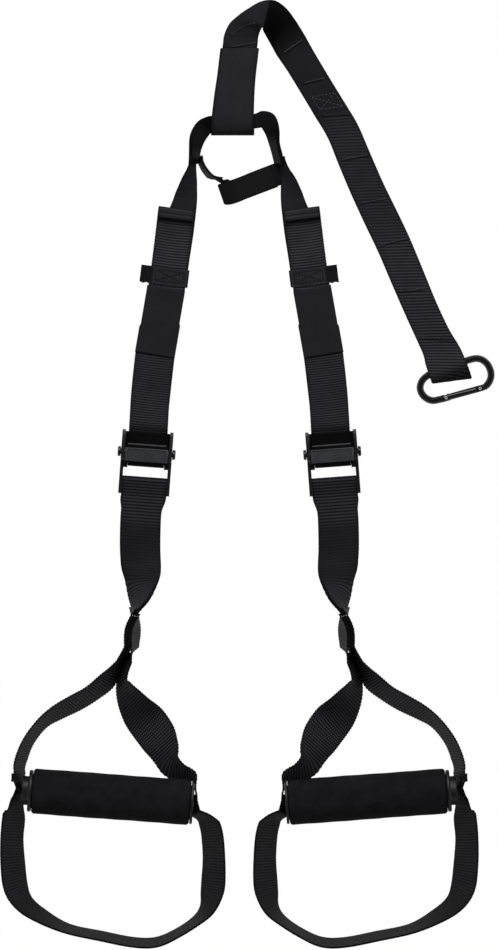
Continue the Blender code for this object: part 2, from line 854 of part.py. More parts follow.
def build_arm(side, label, root_group, tail_group, tilt):
    rise = main_level - webbing_thick / 2
    split_lift = yoke_level - rise - webbing_thick / 2
    rows = [
        (main_width * x, split_up * y, rise + split_lift * lift, turn, elevation, share)
        for x, y, turn, elevation, lift, share in main_shares
    ]
    strap(
        f"{label}_main_strap",
        laid(smooth_rows(rows, turn_steps), main_width),
        webbing,
        root_group,
    )
    # the run under the keeper's middle, down to the buckle, which changes with the length
    sway = math.radians(tilt)
    feed_x = math.sin(sway) * feed_up - buckle_in
    rows = [
        (main_width * -0.036, keeper_at - play, main_level, 0.0, main_width),
        (main_width * 0.03, keeper_at * 0.6, main_level, 0.0, main_width),
        (feed_x, math.cos(sway) * feed_up + play, main_level, -tilt, main_width),
    ]
    lower = [station(x, y, z, a, 0.0, w) for x, y, z, a, w in smooth_rows(rows, turn_steps)]
    strap(f"{label}_main_strap_lower", lower, webbing, root_group)

    stations = []
    for y, x in smooth_rows(tail_shares, turn_steps):
        stations.append(station(main_width * x, hem_top * y, tail_level, 0.0, 0.0, main_width))
    hem_radius = layer_step / 2
    hem_x = main_width * tail_shares[-1][1]
    hem_y = hem_top - hem_radius - webbing_thick / 2

    def over_end(flat, up):
        return hem_x, flat, up

    stations += fold(
        hem_y, tail_level + hem_radius, hem_radius, 0.0, main_width, over_end, -90.0, 90.0
    )
    stations.append(
        station(hem_x, hem_top - hem_long, tail_level + layer_step, 0.0, 0.0, main_width)
    )
    strap(f"{label}_tail_strap", stations, webbing, tail_group)

    base = sleeve_top - sleeve_long
    feed_rise = feed_level - tail_level
    rows = [
        (feed_x, math.cos(sway) * feed_up + play, 1.0, -tilt),
        *((tail_width * x, base * y, 0.0, 0.0) for y, x in tail_low_shares),
    ]
    lower = [
        station(x, y, tail_level + feed_rise * up, turn, 0.0, tail_width)
        for x, y, up, turn in smooth_rows(rows, turn_steps)
    ]
    strap(f"{label}_tail_strap_lower", lower, webbing, tail_group)

    ring(
        f"{label}_keeper_band",
        -keeper_low,
        keeper_high,
        band_thick / 2,
        sleeve_high,
        keeper_at,
        keeper_width,
        webbing,
        tail_group,
    )
    middle_x = side * main_width * tail_shares[1][1]
    on_tail = flat_place(middle_x, sleeve_top - sleeve_long / 2, side * sleeve_tilt)
    ring(
        f"{label}_strap_sleeve",
        -sleeve_half,
        sleeve_half,
        sleeve_low,
        sleeve_high,
        0.0,
        sleeve_long,
        smooth_webbing,
        Group(tail_group.body, tail_group.place @ on_tail, side),
    )


def build_buckle(side, label, group, cam_group):
    """A pressed frame with two sides, a sprung cam on a pin, and a strap bar."""
    half_gap = side_gap / 2
    plate_low, plate_high = plate_level - plate_thick / 2, plate_level + plate_thick / 2
    outline = (
        (-side_down, rail_low),
        (-side_back, rail_low),
        (side_up, plate_low),
        (side_up, side_height * 0.72),
        (side_up - side_round, side_height),
        (-side_back, side_height),
        (-cam_back, rail_high),
        (-side_down, rail_high),
    )
    walls = [
        plate(f"{label}_side_{i}", outline, side_thick, side_round / 2, group, at, cutter=True)
        for i, at in enumerate((half_gap, -half_gap - side_thick))
    ]
    base = box(
        f"{label}_buckle_frame",
        (-half_gap - side_thick / 2, -crossbar_down, plate_low),
        (half_gap + side_thick / 2, plate_up, plate_high),
        group,
        coated,
    )
    combine(base, walls, "UNION")
    reach = half_gap + side_thick + overrun
    bores = [
        rod(
            f"{label}_{name}",
            radius + play,
            (-reach, y, z),
            (reach, y, z),
            group,
            cutter=True,
        )
        for name, radius, y, z in (
            ("pin_bore", pin_radius, 0.0, pin_height),
            ("bar_bore", bar_radius, -bar_drop, bar_height),
        )
    ]
    combine(base, bores)

    outside = half_gap + side_thick
    head_in, head_out = outside + play, outside + play + pin_head_thick
    head_round = pin_head_thick / 4
    axle = Group(group.body, group.place @ Matrix.Translation((0.0, 0.0, pin_height)), side)
    half = [
        (0.0, head_out),
        (pin_head_radius - head_round, head_out),
        (pin_head_radius, head_out - head_round),
        (pin_head_radius, head_in),
        (pin_radius, head_in),
    ]
    turned(
        f"{label}_cam_pin",
        half + [(radius, -along) for radius, along in reversed(half)],
        coated,
        axle,
        sides=24,
        closed=False,
    )
    rod(
        f"{label}_strap_bar",
        bar_radius,
        (-outside, -bar_drop, bar_height),
        (outside, -bar_drop, bar_height),
        group,
        coated,
    )

    # the webbing held in the buckle: under the base plate, round the crossbar, over it
    def round_bar(flat, up):
        return 0.0, flat, up

    middle = (feed_level + main_level) / 2
    stations = [station(0.0, feed_up, main_level, 0.0, 0.0, main_width)]
    stations += fold(-crossbar_down, middle, feed_radius, 0.0, main_width, round_bar)
    stations.append(station(0.0, feed_up, feed_level, 0.0, 0.0, main_width))
    strap(f"{label}_buckle_strap", stations, webbing, group)

    half_cam = half_gap - cam_gap
    tooth_run = (cam_back * 0.5 + cam_front * 0.4) / tooth_count
    teeth = []
    for i in range(tooth_count):
        start = -cam_back * 0.5 + tooth_run * i
        teeth.append((start, -cam_foot))
        teeth.append((start + tooth_run * 0.8, -cam_foot + tooth_depth))
    profile = [
        (-cam_back, cam_top),
        (-cam_back, cam_top * 0.3),
        (-cam_back * 0.72, -cam_foot * 0.55),
        *teeth,
        (cam_front, -cam_foot * 0.45),
        (cam_front * 1.3, thumb_low),
        (thumb_out, thumb_low),
        (thumb_out, thumb_low + thumb_thick),
        (cam_front * 1.9, thumb_low + thumb_thick * 1.5),
        (cam_front, cam_top),
    ]
    cam = plate(
        f"{label}_cam",
        [(y, z + pin_height) for y, z in profile],
        2 * half_cam,
        0.0,
        cam_group,
        -half_cam,
        coated,
    )
    rim = half_cam - panel_margin
    panel = box(
        f"{label}_cam_panel",
        (-rim, -cam_back - overrun, pin_height + cam_top - panel_depth),
        (rim, cam_front - panel_margin / 2, pin_height + cam_top + overrun),
        cam_group,
        cutter=True,
    )
    bore = rod(
        f"{label}_cam_bore",
        pin_radius + play,
        (-reach, 0.0, pin_height),
        (reach, 0.0, pin_height),
        cam_group,
        cutter=True,
    )
    half_pocket = spring_long / 2 + 2 * spring_wire + play
    pocket = box(
        f"{label}_spring_pocket",
        (-half_pocket, -spring_pocket, pin_height - cam_foot - overrun),
        (half_pocket, spring_pocket, pin_height + spring_pocket),
        cam_group,
        cutter=True,
    )
    combine(cam, [panel, bore, pocket])

    steps = 10
    points = []
    for i in range(spring_turns * steps + 1):
        turn = math.tau * i / steps
        x = spring_long * (i / (spring_turns * steps) - 0.5)
        points.append((x, spring_radius * math.cos(turn), pin_height + spring_radius * math.sin(turn)))
    swept(f"{label}_cam_spring", points, spring_wire, steel, group, resolution=1)


# Lower strap, a doubled strap from the bar to the handle: x in shares of strap_width,
# y in shares of lower_long, elevation of the inner edge, lift in layers
lower_shares = (
    (0.000, -0.085, 0.0, 0.0),
    (0.030, -0.202, 0.0, 0.0),
    (-0.004, -0.381, 0.0, 0.0),
    (-0.060, -0.502, 8.0, 0.0),
    (-0.100, -0.599, 38.0, 0.0),
    (-0.074, -0.704, 62.0, 0.1),
    (-0.012, -0.788, 86.0, 0.22),
    (0.020, -0.886, 102.0, 0.26),
    (0.024, -0.993, 100.0, 0.26),
)

# Handle strap, outer arm: x in shares of the outer plane, y in shares of arm_rise,
# azimuth and elevation of the edge that faces away from the handle's inside
outer_arm_shares = (
    (0.010, 0.732, 5.0, 79.0),
    (0.072, 0.675, 25.0, 72.0),
    (0.143, 0.618, 45.0, 63.0),
    (0.297, 0.545, 53.0, 65.0),
    (0.448, 0.492, 56.0, 64.0),
    (0.630, 0.433, 53.0, 67.0),
    (0.786, 0.366, 43.0, 73.0),
    (0.921, 0.258, 26.0, 74.0),
    (0.988, 0.141, 14.0, 74.0),
    (0.984, 0.090, 4.0, 86.0),
    (0.999, 0.058, 0.0, 90.0),
    (1.000, 0.040, 0.0, 90.0),
)

# Handle strap, inner arm, from the grip's inner end back up
inner_arm_shares = (
    (1.000, 0.040, 180.0, 90.0),
    (0.999, 0.058, 180.0, 90.0),
    (0.990, 0.094, 174.0, 86.0),
    (0.976, 0.121, 160.0, 82.0),
    (0.932, 0.145, 146.0, 76.0),
    (0.868, 0.162, 137.0, 68.0),
    (0.762, 0.180, 137.0, 57.0),
    (0.662, 0.209, 143.0, 49.0),
    (0.575, 0.270, 147.0, 38.0),
    (0.477, 0.344, 143.0, 14.0),
    (0.357, 0.412, 137.0, 8.0),
    (0.214, 0.482, 141.0, 33.0),
    (0.106, 0.556, 153.0, 53.0),
    (0.036, 0.624, 168.0, 72.0),
    (0.040, 0.679, 178.0, 86.0),
    (0.084, 0.745, 180.0, 96.0),
)

# Foot cradle between its two sewn ends: x in shares of the end planes, y in shares of
# cradle_drop, azimuth and elevation of the outer edge
cradle_shares = (
    (1.000, -0.050, 0.0, 90.0),
    (1.000, -0.070, 0.0, 88.0),
    (0.992, -0.121, 0.0, 65.0),
    (0.984, -0.205, 0.0, 57.0),
    (0.986, -0.341, 0.0, 57.0),
    (0.958, -0.515, -8.0, 54.0),
    (0.908, -0.678, -25.0, 54.0),
    (0.800, -0.790, -50.0, 64.0),
    (0.605, -0.870, -65.0, 71.0),
    (0.336, -0.940, -77.0, 78.0),
    (0.000, -0.973, -82.0, 78.0),
    (-0.368, -1.000, -90.0, 78.0),
    (-0.637, -0.985, -104.0, 78.0),
    (-0.882, -0.904, -121.0, 79.0),
    (-1.072, -0.813, -132.0, 77.0),
    (-1.172, -0.735, -150.0, 69.0),
    (-1.214, -0.636, -170.0, 58.0),
    (-1.226, -0.545, -178.0, 54.0),
    (-1.214, -0.379, -184.0, 57.0),
    (-1.170, -0.205, -190.0, 58.0),
    (-1.104, -0.108, -200.0, 63.0),
    (-1.010, -0.062, -186.0, 87.0),
    (-1.000, -0.045, -180.0, 90.0),
)


def lower_middle():
    """Stations of the line between the lower strap's two layers."""
    rows = [
        (strap_width * x, lower_long * y, layer_step * lift, 180.0, rise, 1.0)
        for x, y, rise, lift in lower_shares
    ]
    return laid(smooth_rows(rows, turn_steps), strap_width, 2 * webbing_thick + play)


def sewn_layer(side_ways, sewn_share):
    """The handle strap's top, sewn beside the lower strap, in the grip's own frame."""
    sewn = shift(lower_middle(), side_ways)
    return [
        (centre + Vector((-grip_out, grip_drop, 0.0)), direction, width)
        for centre, direction, width in sewn
        if -centre.y > lower_long * sewn_share
    ]


def build_lower_strap(label, group):
    """One strap, doubled round the strap bar and sewn together down to the handle."""
    middle = lower_middle()
    upper, under = shift(middle, -layer_step / 2), shift(middle, layer_step / 2)

    def round_bar(flat, up):
        return 0.0, flat, up

    turn = fold(0.0, bar_height, bar_wrap, 180.0, strap_width, round_bar, -90.0, 90.0)
    if under[0][0].z > upper[0][0].z:
        upper, under = under, upper
    strap(f"{label}_lower_strap", list(reversed(under)) + turn + upper, webbing, group)


def build_handle(label, strap_group, cradle_group):
    middle_z = foam_radius

    def bend(plane, end, sign):
        """The strap's quarter turn from the grip's end plane into the bore."""
        made = []
        for i in range(1, fold_steps + 1):
            turn = math.radians(90.0 * i / fold_steps)
            x = plane - bend_radius * (1 - math.cos(turn))
            y = bend_radius * (1 - math.sin(turn))
            share = i / fold_steps
            width = end + (bore_width - end) * min(1.0, share * 1.25)
            made.append(station(sign * x, y, middle_z, 90.0 - 90.0 * sign, 90.0, width))
        return made

    start_width = strap_width * 0.92
    beside = 3 * layer_step / 2
    rows = [
        (outer_plane * x, arm_rise * y, 0.0, turn, rise, 1.0)
        for x, y, turn, rise in outer_arm_shares
    ]
    outer = sewn_layer(-beside, outer_sewn_share) + laid(smooth_rows(rows, turn_steps), strap_width)
    rows = [
        (-inner_plane * x, arm_rise * y, 0.0, turn, rise, 1.0)
        for x, y, turn, rise in inner_arm_shares
    ]
    inner = laid(smooth_rows(rows, turn_steps), strap_width) + sewn_layer(beside, inner_sewn_share)[::-1]
    into = bend(outer_plane, start_width, 1)
    out = list(reversed(bend(inner_plane, start_width, -1)))
    # the edge that leads is up on both arms, so both ends enter the bore the same way up
    strap(f"{label}_handle_strap", outer + into + out + inner, webbing, strap_group)

    aside = layer_step + play
    rows = [
        (
            (outer_plane if x > 0 else inner_plane) * x + math.copysign(aside, x) * abs(x) ** 0.5,
            cradle_drop * y,
            0.0,
            turn,
            rise,
            1.0,
        )
        for x, y, turn, rise in cradle_shares
    ]
    cradle = laid(smooth_rows(rows, turn_steps), strap_width)
    level = foam_radius
    first = [
        station(outer_plane + aside, tab_up * share, level, 0.0, 90.0, strap_width)
        for share in (1.0, 0.0)
    ]
    last = [
        station(-inner_plane - aside, tab_up * share, level, -180.0, 90.0, strap_width)
        for share in (0.0, 1.0)
    ]
    strap(f"{label}_foot_cradle", first + cradle + last, webbing, cradle_group)


def build_grip(label, group):
    """Foam over a plain tube, with an end ring at each end."""
    half = foam_long / 2
    bore = tube_radius + play
    edge = foam_radius - foam_round

    def on_side(along):
        return group.side * along

    turned(
        f"{label}_grip_foam",
        [
            (edge, half),
            (foam_radius - foam_round * 0.3, half - foam_round * 0.3),
            (foam_radius, half - foam_round),
            (foam_radius, -half + foam_round),
            (foam_radius - foam_round * 0.3, -half + foam_round * 0.3),
            (edge, -half),
            (bore, -half),
            (bore, half),
        ],
        foam,
        group,
    )
    step = half + play + outer_ring_long
    wall = [
        (bore_radius, outer_end),
        (neck_radius, outer_end),
        (neck_radius, step),
        (tube_radius, step),
        (tube_radius, -inner_end),
        (bore_radius, -inner_end),
    ]
    if group.side < 0:
        wall = [(radius, -along) for radius, along in reversed(wall)]
    turned(f"{label}_grip_tube", wall, plastic, group)
    for name, radius, near, long in (
        ("outer_end_ring", outer_ring_radius, half + play, outer_ring_long),
        ("inner_end_ring", inner_ring_radius, -half - play - inner_ring_long, inner_ring_long),
    ):
        low, high = sorted((on_side(near), on_side(near + long)))
        turned(
            f"{label}_{name}",
            [
                (radius - ring_round, high),
                (radius, high - ring_round),
                (radius, low + ring_round),
                (radius - ring_round, low),
                (bore, low),
                (bore, high),
            ],
            plastic,
            group,
        )


def build_side(side, label):
    x = mirror_x + side * arm_out
    arm_lean = left_lean if side < 0 else right_lean
    arm_place = flat_place(x, buckle_y, side * arm_lean)
    buckle_place = flat_place(x - side * buckle_in, buckle_y, side * buckle_lean)
    buckle = Body(f"{label}_buckle_slide", buckle_place)
    tail = Body(f"{label}_tail_slide", arm_place, buckle)
    cam = Body(
        f"{label}_cam_hinge", buckle_place @ Matrix.Translation((0.0, 0.0, pin_height)), buckle
    )
    bar_place = buckle_place @ Matrix.Translation((0.0, -bar_drop, 0.0))
    lower = Body(
        f"{label}_handle_swing", bar_place @ Matrix.Translation((0.0, 0.0, bar_height)), buckle
    )
    grip_place = bar_place @ Matrix.Translation((side * grip_out, -grip_drop, 0.0))
    axis_place = grip_place @ Matrix.Translation((0.0, 0.0, foam_radius))
    grip = Body(f"{label}_grip_spin", axis_place, lower)
    cradle = Body(f"{label}_cradle_swing", axis_place, lower)

    tilt = arm_lean - buckle_lean
    build_arm(side, label, Group(None, arm_place, side), Group(tail, arm_place, side), tilt)
    build_buckle(side, label, Group(buckle, buckle_place, side), Group(cam, buckle_place, side))
    build_lower_strap(label, Group(lower, bar_place, side))
    build_handle(label, Group(lower, grip_place, side), Group(cradle, grip_place, side))
    build_grip(label, Group(grip, axis_place, side))


build_anchor()
build_hook()
build_yoke()
for side, label in ((-1, "left"), (1, "right")):
    build_side(side, label)
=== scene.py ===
# A suspension trainer laid out flat: webbing, cam buckles, foam grips and a snap hook
import itertools
import json
import math

import bmesh
import bpy
import numpy as np
from mathutils import Matrix, Vector


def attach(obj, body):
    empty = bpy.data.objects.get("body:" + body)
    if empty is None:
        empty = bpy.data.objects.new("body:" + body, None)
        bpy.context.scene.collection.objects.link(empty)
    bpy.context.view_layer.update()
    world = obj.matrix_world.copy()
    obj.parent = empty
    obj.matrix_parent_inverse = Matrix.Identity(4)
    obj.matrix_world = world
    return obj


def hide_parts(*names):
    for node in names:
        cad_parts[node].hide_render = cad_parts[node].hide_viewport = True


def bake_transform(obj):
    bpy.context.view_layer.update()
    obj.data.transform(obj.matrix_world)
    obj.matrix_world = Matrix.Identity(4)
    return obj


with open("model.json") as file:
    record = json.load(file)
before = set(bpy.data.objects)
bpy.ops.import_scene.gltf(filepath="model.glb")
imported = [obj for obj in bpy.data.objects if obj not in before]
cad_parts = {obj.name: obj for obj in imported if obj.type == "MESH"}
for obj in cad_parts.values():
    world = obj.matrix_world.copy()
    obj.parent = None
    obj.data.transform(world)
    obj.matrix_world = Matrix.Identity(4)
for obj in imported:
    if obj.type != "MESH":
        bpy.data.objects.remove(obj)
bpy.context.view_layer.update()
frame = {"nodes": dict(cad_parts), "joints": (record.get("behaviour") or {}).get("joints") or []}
joints = {joint["name"]: joint for joint in frame["joints"]}
upward = Vector((0.0, 0.0, 1.0))
sides = ("left", "right")
dressed = bpy.data.collections.new("dressed")
bpy.context.scene.collection.children.link(dressed)

# The photograph: one of its pixels is 0.92 mm, and one arm mirrors the other about a column
photo = {"pixel": 0.00092, "originPixel": (248, 474), "size": (498, 950), "mirror": 239.4}


def place(u, v):
    x, y = photo["originPixel"]
    return Vector(((u - x) * photo["pixel"], (y - v) * photo["pixel"], 0.0))


def shift(u, v):
    return Vector((u * photo["pixel"], -v * photo["pixel"], 0.0))


def pixel(point):
    x, y = photo["originPixel"]
    return x + point[0] / photo["pixel"], y - point[1] / photo["pixel"]


def linear(hexColour):
    shades = [int(hexColour[i : i + 2], 16) / 255 for i in (1, 3, 5)]
    shades = [c / 12.92 if c <= 0.04045 else ((c + 0.055) / 1.055) ** 2.4 for c in shades]
    return (*shades, 1.0)


def addNode(tree, kind, settings=None, links=None, out=0):
    node = tree.nodes.new(kind)
    for key, value in (settings or {}).items():
        if isinstance(key, str) and hasattr(node, key):
            setattr(node, key, value)
        else:
            node.inputs[key].default_value = value
    for key, source in (links or {}).items():
        tree.links.new(source, node.inputs[key])
    return node.outputs[out] if len(node.outputs) > 0 else node


def emptyTree(owner):
    owner.use_nodes = True
    owner.node_tree.nodes.clear()
    return owner.node_tree


def newMaterial(name, shader):
    material = bpy.data.materials.new(name)
    tree = emptyTree(material)
    base = tree.nodes.new("ShaderNodeBsdfPrincipled")
    for key, value in shader.items():
        base.inputs[key].default_value = value
    addNode(tree, "ShaderNodeOutputMaterial", links={"Surface": base.outputs[0]})
    return material, tree, base


# Woven polyester webbing: matt cord-like ribs, each crest painted lighter than the groove as a
# painted highlight, and each groove painted dark as painted shade
webbingLook = {
    "groove": "#010102",
    "crest": "#343438",
    "flat": "#18181a",
    "fibre": "#343438",
    "weft": "#7c7c82",
    "yarn": 0.0011,  # real yarns are 0.5 mm wide, drawn coarser so that they show
    "weftGap": 0.0021,
    "roughness": 0.6,
    "specular": 0.05,
    "fluff": 0.3,
}
# Calendered polyester cloth: the same yarns pressed flat, so it is smoother and more even
coatedClothLook = {
    **webbingLook,
    "flat": "#1d1d1f",
    "fibre": "#28282b",
    "yarn": 0.0009,
    "roughness": 0.5,
    "fluff": 0.2,
}


def webbingMaterial(name, look):
    material, tree, base = newMaterial(
        name, {"Roughness": look["roughness"], "Specular IOR Level": look["specular"]}
    )
    lay = addNode(tree, "ShaderNodeUVMap", {"uv_map": "lay"})
    across, ribs = (addNode(tree, "ShaderNodeSeparateXYZ", links={0: lay}, out=k) for k in (0, 1))
    weave = addNode(tree, "ShaderNodeAttribute", {"attribute_name": "weave"})
    ribShare, weftShare, shadeShare = (
        addNode(tree, "ShaderNodeSeparateColor", links={0: weave}, out=k) for k in range(3)
    )
    # each swell is 0 in a groove and 1 on a crest; yarns step by half from rib to rib
    row = addNode(tree, "ShaderNodeMath", {"operation": "FLOOR"}, {0: ribs})
    row = addNode(tree, "ShaderNodeMath", {"operation": "MULTIPLY", 1: 0.5}, {0: row})
    phases, swells = {"rib": ribs}, {}
    for key in ("yarn", "weftGap"):
        step = {"operation": "MULTIPLY_ADD", 1: 1.0 / look[key]}
        phases[key] = addNode(tree, "ShaderNodeMath", step, {0: across, 2: row})
    for key, phase in phases.items():
        turn = addNode(tree, "ShaderNodeMath", {"operation": "MULTIPLY", 1: math.pi}, {0: phase})
        wave = addNode(tree, "ShaderNodeMath", {"operation": "SINE"}, {0: turn})
        swells[key] = addNode(tree, "ShaderNodeMath", {"operation": "ABSOLUTE"}, {0: wave})
    crest = addNode(tree, "ShaderNodeMath", {"operation": "POWER", 1: 1.5}, {0: swells["rib"]})
    weft = addNode(tree, "ShaderNodeMath", {"operation": "POWER", 1: 8.0}, {0: swells["weftGap"]})
    for factor in (crest, weftShare):
        weft = addNode(tree, "ShaderNodeMath", {"operation": "MULTIPLY"}, {0: weft, 1: factor})

    spot = addNode(tree, "ShaderNodeTexCoord", out=3)
    noise = {"Scale": 1400.0, "Detail": 3.0, "Roughness": 0.7}
    fluff = addNode(tree, "ShaderNodeTexNoise", noise, {"Vector": spot})
    noise = {"Scale": 60.0, "Detail": 3.0, "Roughness": 0.6}
    patches = addNode(tree, "ShaderNodeTexNoise", noise, {"Vector": spot})

    # painted highlight on each crest and painted shade in each groove, mixed in by the rib share
    shades = {"data_type": "RGBA", 6: linear(look["groove"]), 7: linear(look["crest"])}
    ribbed = addNode(tree, "ShaderNodeMix", shades, {0: crest}, out=2)
    shades = {"data_type": "RGBA", 6: linear(look["flat"])}
    colour = addNode(tree, "ShaderNodeMix", shades, {0: ribShare, 7: ribbed}, out=2)
    stray = {"From Min": 0.52, "From Max": 0.76, "To Max": look["fluff"]}
    stray = addNode(tree, "ShaderNodeMapRange", stray, {"Value": fluff})
    for key, share in (("fibre", stray), ("weft", weft)):
        shades = {"data_type": "RGBA", 7: linear(look[key])}
        colour = addNode(tree, "ShaderNodeMix", shades, {0: share, 6: colour}, out=2)
    worn = addNode(tree, "ShaderNodeMapRange", {3: 0.75, 4: 1.28}, {"Value": patches})
    # the random worn patches are multiplied by the painted shade and painted light of the weave's
    # third share, which darkens or lightens the colour
    worn = addNode(tree, "ShaderNodeMath", {"operation": "MULTIPLY"}, {0: worn, 1: shadeShare})
    worn = {0: colour, "Scale": worn}
    colour = addNode(tree, "ShaderNodeVectorMath", {"operation": "SCALE"}, worn)
    tree.links.new(colour, base.inputs["Base Color"])

    grain = {"operation": "MULTIPLY_ADD", 1: 0.6}
    height = addNode(tree, "ShaderNodeMath", grain, {0: swells["yarn"], 2: fluff})
    bump = {"Strength": 0.55, "Distance": 0.00014}
    bump = addNode(tree, "ShaderNodeBump", bump, {"Height": height})
    tree.links.new(bump, base.inputs["Normal"])
    return material


# Every other finish: its colour, the colour that wear brings in, and its grain in metres
finishes = {
    # ground EVA foam: dead matt, with a finely pitted skin
    "closedCellFoam": {
        "colour": "#111113",
        "worn": "#1b1b1d",
        "grain": 0.0011,
        "depth": 0.00022,
        "roughness": 0.92,
        "specular": 0.06,
    },
    # forged aluminium under stoved enamel: deep black with crisp glints
    "enamelledAlloy": {
        "colour": "#050506",
        "worn": "#0b0b0d",
        "grain": 0.005,
        "depth": 0.00003,
        "roughness": 0.18,
        "specular": 0.5,
    },
    # pressed steel under powder coat: slight orange peel and soft glints
    "powderCoatedSteel": {
        "colour": "#0c0c0e",
        "worn": "#151517",
        "grain": 0.0016,
        "depth": 0.00006,
        "roughness": 0.4,
        "specular": 0.4,
    },
    # cast zinc with a dark electro-coat: a paler, even satin face
    "coatedCastZinc": {
        "colour": "#242528",
        "worn": "#303135",
        "grain": 0.0012,
        "depth": 0.00004,
        "roughness": 0.46,
        "specular": 0.4,
    },
    # the same zinc roughened for the thumb lever: matt, and painted nearly black as painted shade
    "paintedShadeRoughZinc": {
        "colour": "#040405",
        "worn": "#09090a",
        "grain": 0.0009,
        "depth": 0.0001,
        "roughness": 0.85,
        "specular": 0.04,
    },
    # blackened spring steel: dark and metallic, with oily glints
    "blackenedSteel": {
        "colour": "#2c2c2f",
        "worn": "#4a4a4f",
        "grain": 0.0008,
        "depth": 0.00002,
        "roughness": 0.34,
        "specular": 0.5,
        "metallic": 1.0,
    },
    # moulded nylon: dull black with a low gloss on its rims
    "mouldedNylon": {
        "colour": "#0d0d0f",
        "worn": "#161619",
        "grain": 0.0007,
        "depth": 0.00005,
        "roughness": 0.44,
        "specular": 0.4,
    },
    # waxed black thread: sinks into the cloth as a dark line
    "waxedThread": {
        "colour": "#040405",
        "worn": "#0b0b0c",
        "grain": 0.0006,
        "depth": 0.00006,
        "roughness": 0.55,
        "specular": 0.3,
    },
    # bonded nylon thread: glossier and paler than the webbing it holds
    "sewingThread": {
        "colour": "#29292c",
        "worn": "#46464b",
        "grain": 0.0006,
        "depth": 0.00006,
        "roughness": 0.45,
        "specular": 0.4,
    },
}


def finishMaterial(name):
    look = finishes[name]
    material, tree, base = newMaterial(
        name, {"Specular IOR Level": look["specular"], "Metallic": look.get("metallic", 0.0)}
    )
    spot = addNode(tree, "ShaderNodeTexCoord", out=3)
    noise = {"Scale": 1.0 / look["grain"], "Detail": 3.0, "Roughness": 0.6}
    grain = addNode(tree, "ShaderNodeTexNoise", noise, {"Vector": spot})
    noise = {"Scale": 70.0, "Detail": 4.0, "Roughness": 0.65}
    wear = addNode(tree, "ShaderNodeTexNoise", noise, {"Vector": spot})
    both = addNode(
        tree, "ShaderNodeMath", {"operation": "MULTIPLY_ADD", 1: 0.5}, {0: grain, 2: wear}
    )
    share = addNode(tree, "ShaderNodeMapRange", {1: 0.55, 2: 0.95}, {"Value": both})
    shades = {"data_type": "RGBA", 6: linear(look["colour"]), 7: linear(look["worn"])}
    colour = addNode(tree, "ShaderNodeMix", shades, {0: share}, out=2)
    tree.links.new(colour, base.inputs["Base Color"])
    spread = {3: look["roughness"] * 0.85, 4: min(1.0, look["roughness"] * 1.2)}
    gloss = addNode(tree, "ShaderNodeMapRange", spread, {"Value": wear})
    tree.links.new(gloss, base.inputs["Roughness"])
    bump = {"Strength": 0.6, "Distance": look["depth"]}
    bump = addNode(tree, "ShaderNodeBump", bump, {"Height": grain})
    tree.links.new(bump, base.inputs["Normal"])
    return material


materials = {name: finishMaterial(name) for name in finishes}
materials["webbing"] = webbingMaterial("wovenPolyesterWebbing", webbingLook)
materials["coatedCloth"] = webbingMaterial("calenderedCloth", coatedClothLook)
print("materials made:", len(materials))


def addObject(name, data):
    made = bpy.data.objects.new(name, data)
    dressed.objects.link(made)
    return made


def addPiece(name, vertices, faces, finish, body, nodes=()):
    mesh = bpy.data.meshes.new(name)
    mesh.from_pydata([tuple(v) for v in vertices], [], faces)
    mesh.update()
    for polygon in mesh.polygons:
        polygon.use_smooth = polygon.loop_total < 5
    mesh.materials.append(materials[finish])
    piece = addObject(name, mesh)
    if body:
        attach(piece, body)
    if nodes:
        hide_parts(*nodes)
    return piece


def ringFaces(rings, around, start=0):
    # quads between rings of points, and a cap on each end
    firsts = [start + i * around for i in range(rings)]
    faces = []
    for first in firsts[:-1]:
        for k in range(around):
            a, b = first + k, first + (k + 1) % around
            faces.append((a, b, b + around, a + around))
    faces.append(tuple(range(start + around - 1, start - 1, -1)))
    faces.append(tuple(range(firsts[-1], firsts[-1] + around)))
    return faces


# Straps: each one follows the stations of its own node in the frame
def strapRoute(nodeName, startToward):
    bm = bmesh.new()
    bm.from_mesh(frame["nodes"][nodeName].data)
    bmesh.ops.remove_doubles(bm, verts=bm.verts, dist=2e-6)
    near = {v: {e.other_vert(v) for e in v.link_edges} for v in bm.verts}
    caps = []
    for edge in bm.edges:
        corners = {v for face in edge.link_faces for v in face.verts}
        beyond = set().union(*(near[v] for v in corners)) - corners
        if len(corners) == 4 and len(beyond) == 4:
            caps.append(corners)
    first = max(caps, key=lambda cap: sum((v.co for v in cap), Vector()).dot(startToward))

    def girth(ring):
        return sum((ring[i].co - ring[i - 1].co).length for i in range(4))

    ring = min(itertools.permutations(first), key=girth)
    if (ring[1].co - ring[0].co).length < (ring[2].co - ring[1].co).length:
        ring = ring[1:] + ring[:1]
    rings, seen = [ring], set(ring)
    while True:
        following = set().union(*(near[v] for v in ring)) - seen
        if len(following) != 4:
            break
        ring = min(
            itertools.permutations(following),
            key=lambda order: sum((a.co - b.co).length_squared for a, b in zip(order, ring)),
        )
        rings.append(ring)
        seen.update(ring)
    corners = np.array([[tuple(v.co) for v in ring] for ring in rings])
    bm.free()
    centre = corners.mean(axis=1)
    across = (corners[:, 1] - corners[:, 0] + corners[:, 2] - corners[:, 3]) / 2
    face = (corners[:, 3] - corners[:, 0] + corners[:, 2] - corners[:, 1]) / 2
    # the face looks up over most of the strap, and across points to its left when it runs away
    face = face if face[:, 2].sum() > 0 else -face
    middle = len(centre) // 2
    ahead = centre[middle + 1] - centre[middle]
    if np.dot(np.cross(across[middle], face[middle]), ahead) < 0:
        across = -across
    chord = np.linalg.norm(np.diff(centre, axis=0), axis=1)
    along = np.concatenate(([0.0], np.cumsum(chord)))
    wide, thick = np.linalg.norm(across, axis=1), np.linalg.norm(face, axis=1)
    slope = np.empty_like(centre)
    slope[1:-1] = (centre[2:] - centre[:-2]) / (along[2:] - along[:-2])[:, None]
    slope[0], slope[-1] = (centre[1] - centre[0]) / chord[0], (centre[-1] - centre[-2]) / chord[-1]
    return {
        "along": along,
        "centre": centre,
        "slope": slope,
        "across": across / wide[:, None],
        "face": face / thick[:, None],
        "wide": wide,
        "thick": thick,
    }


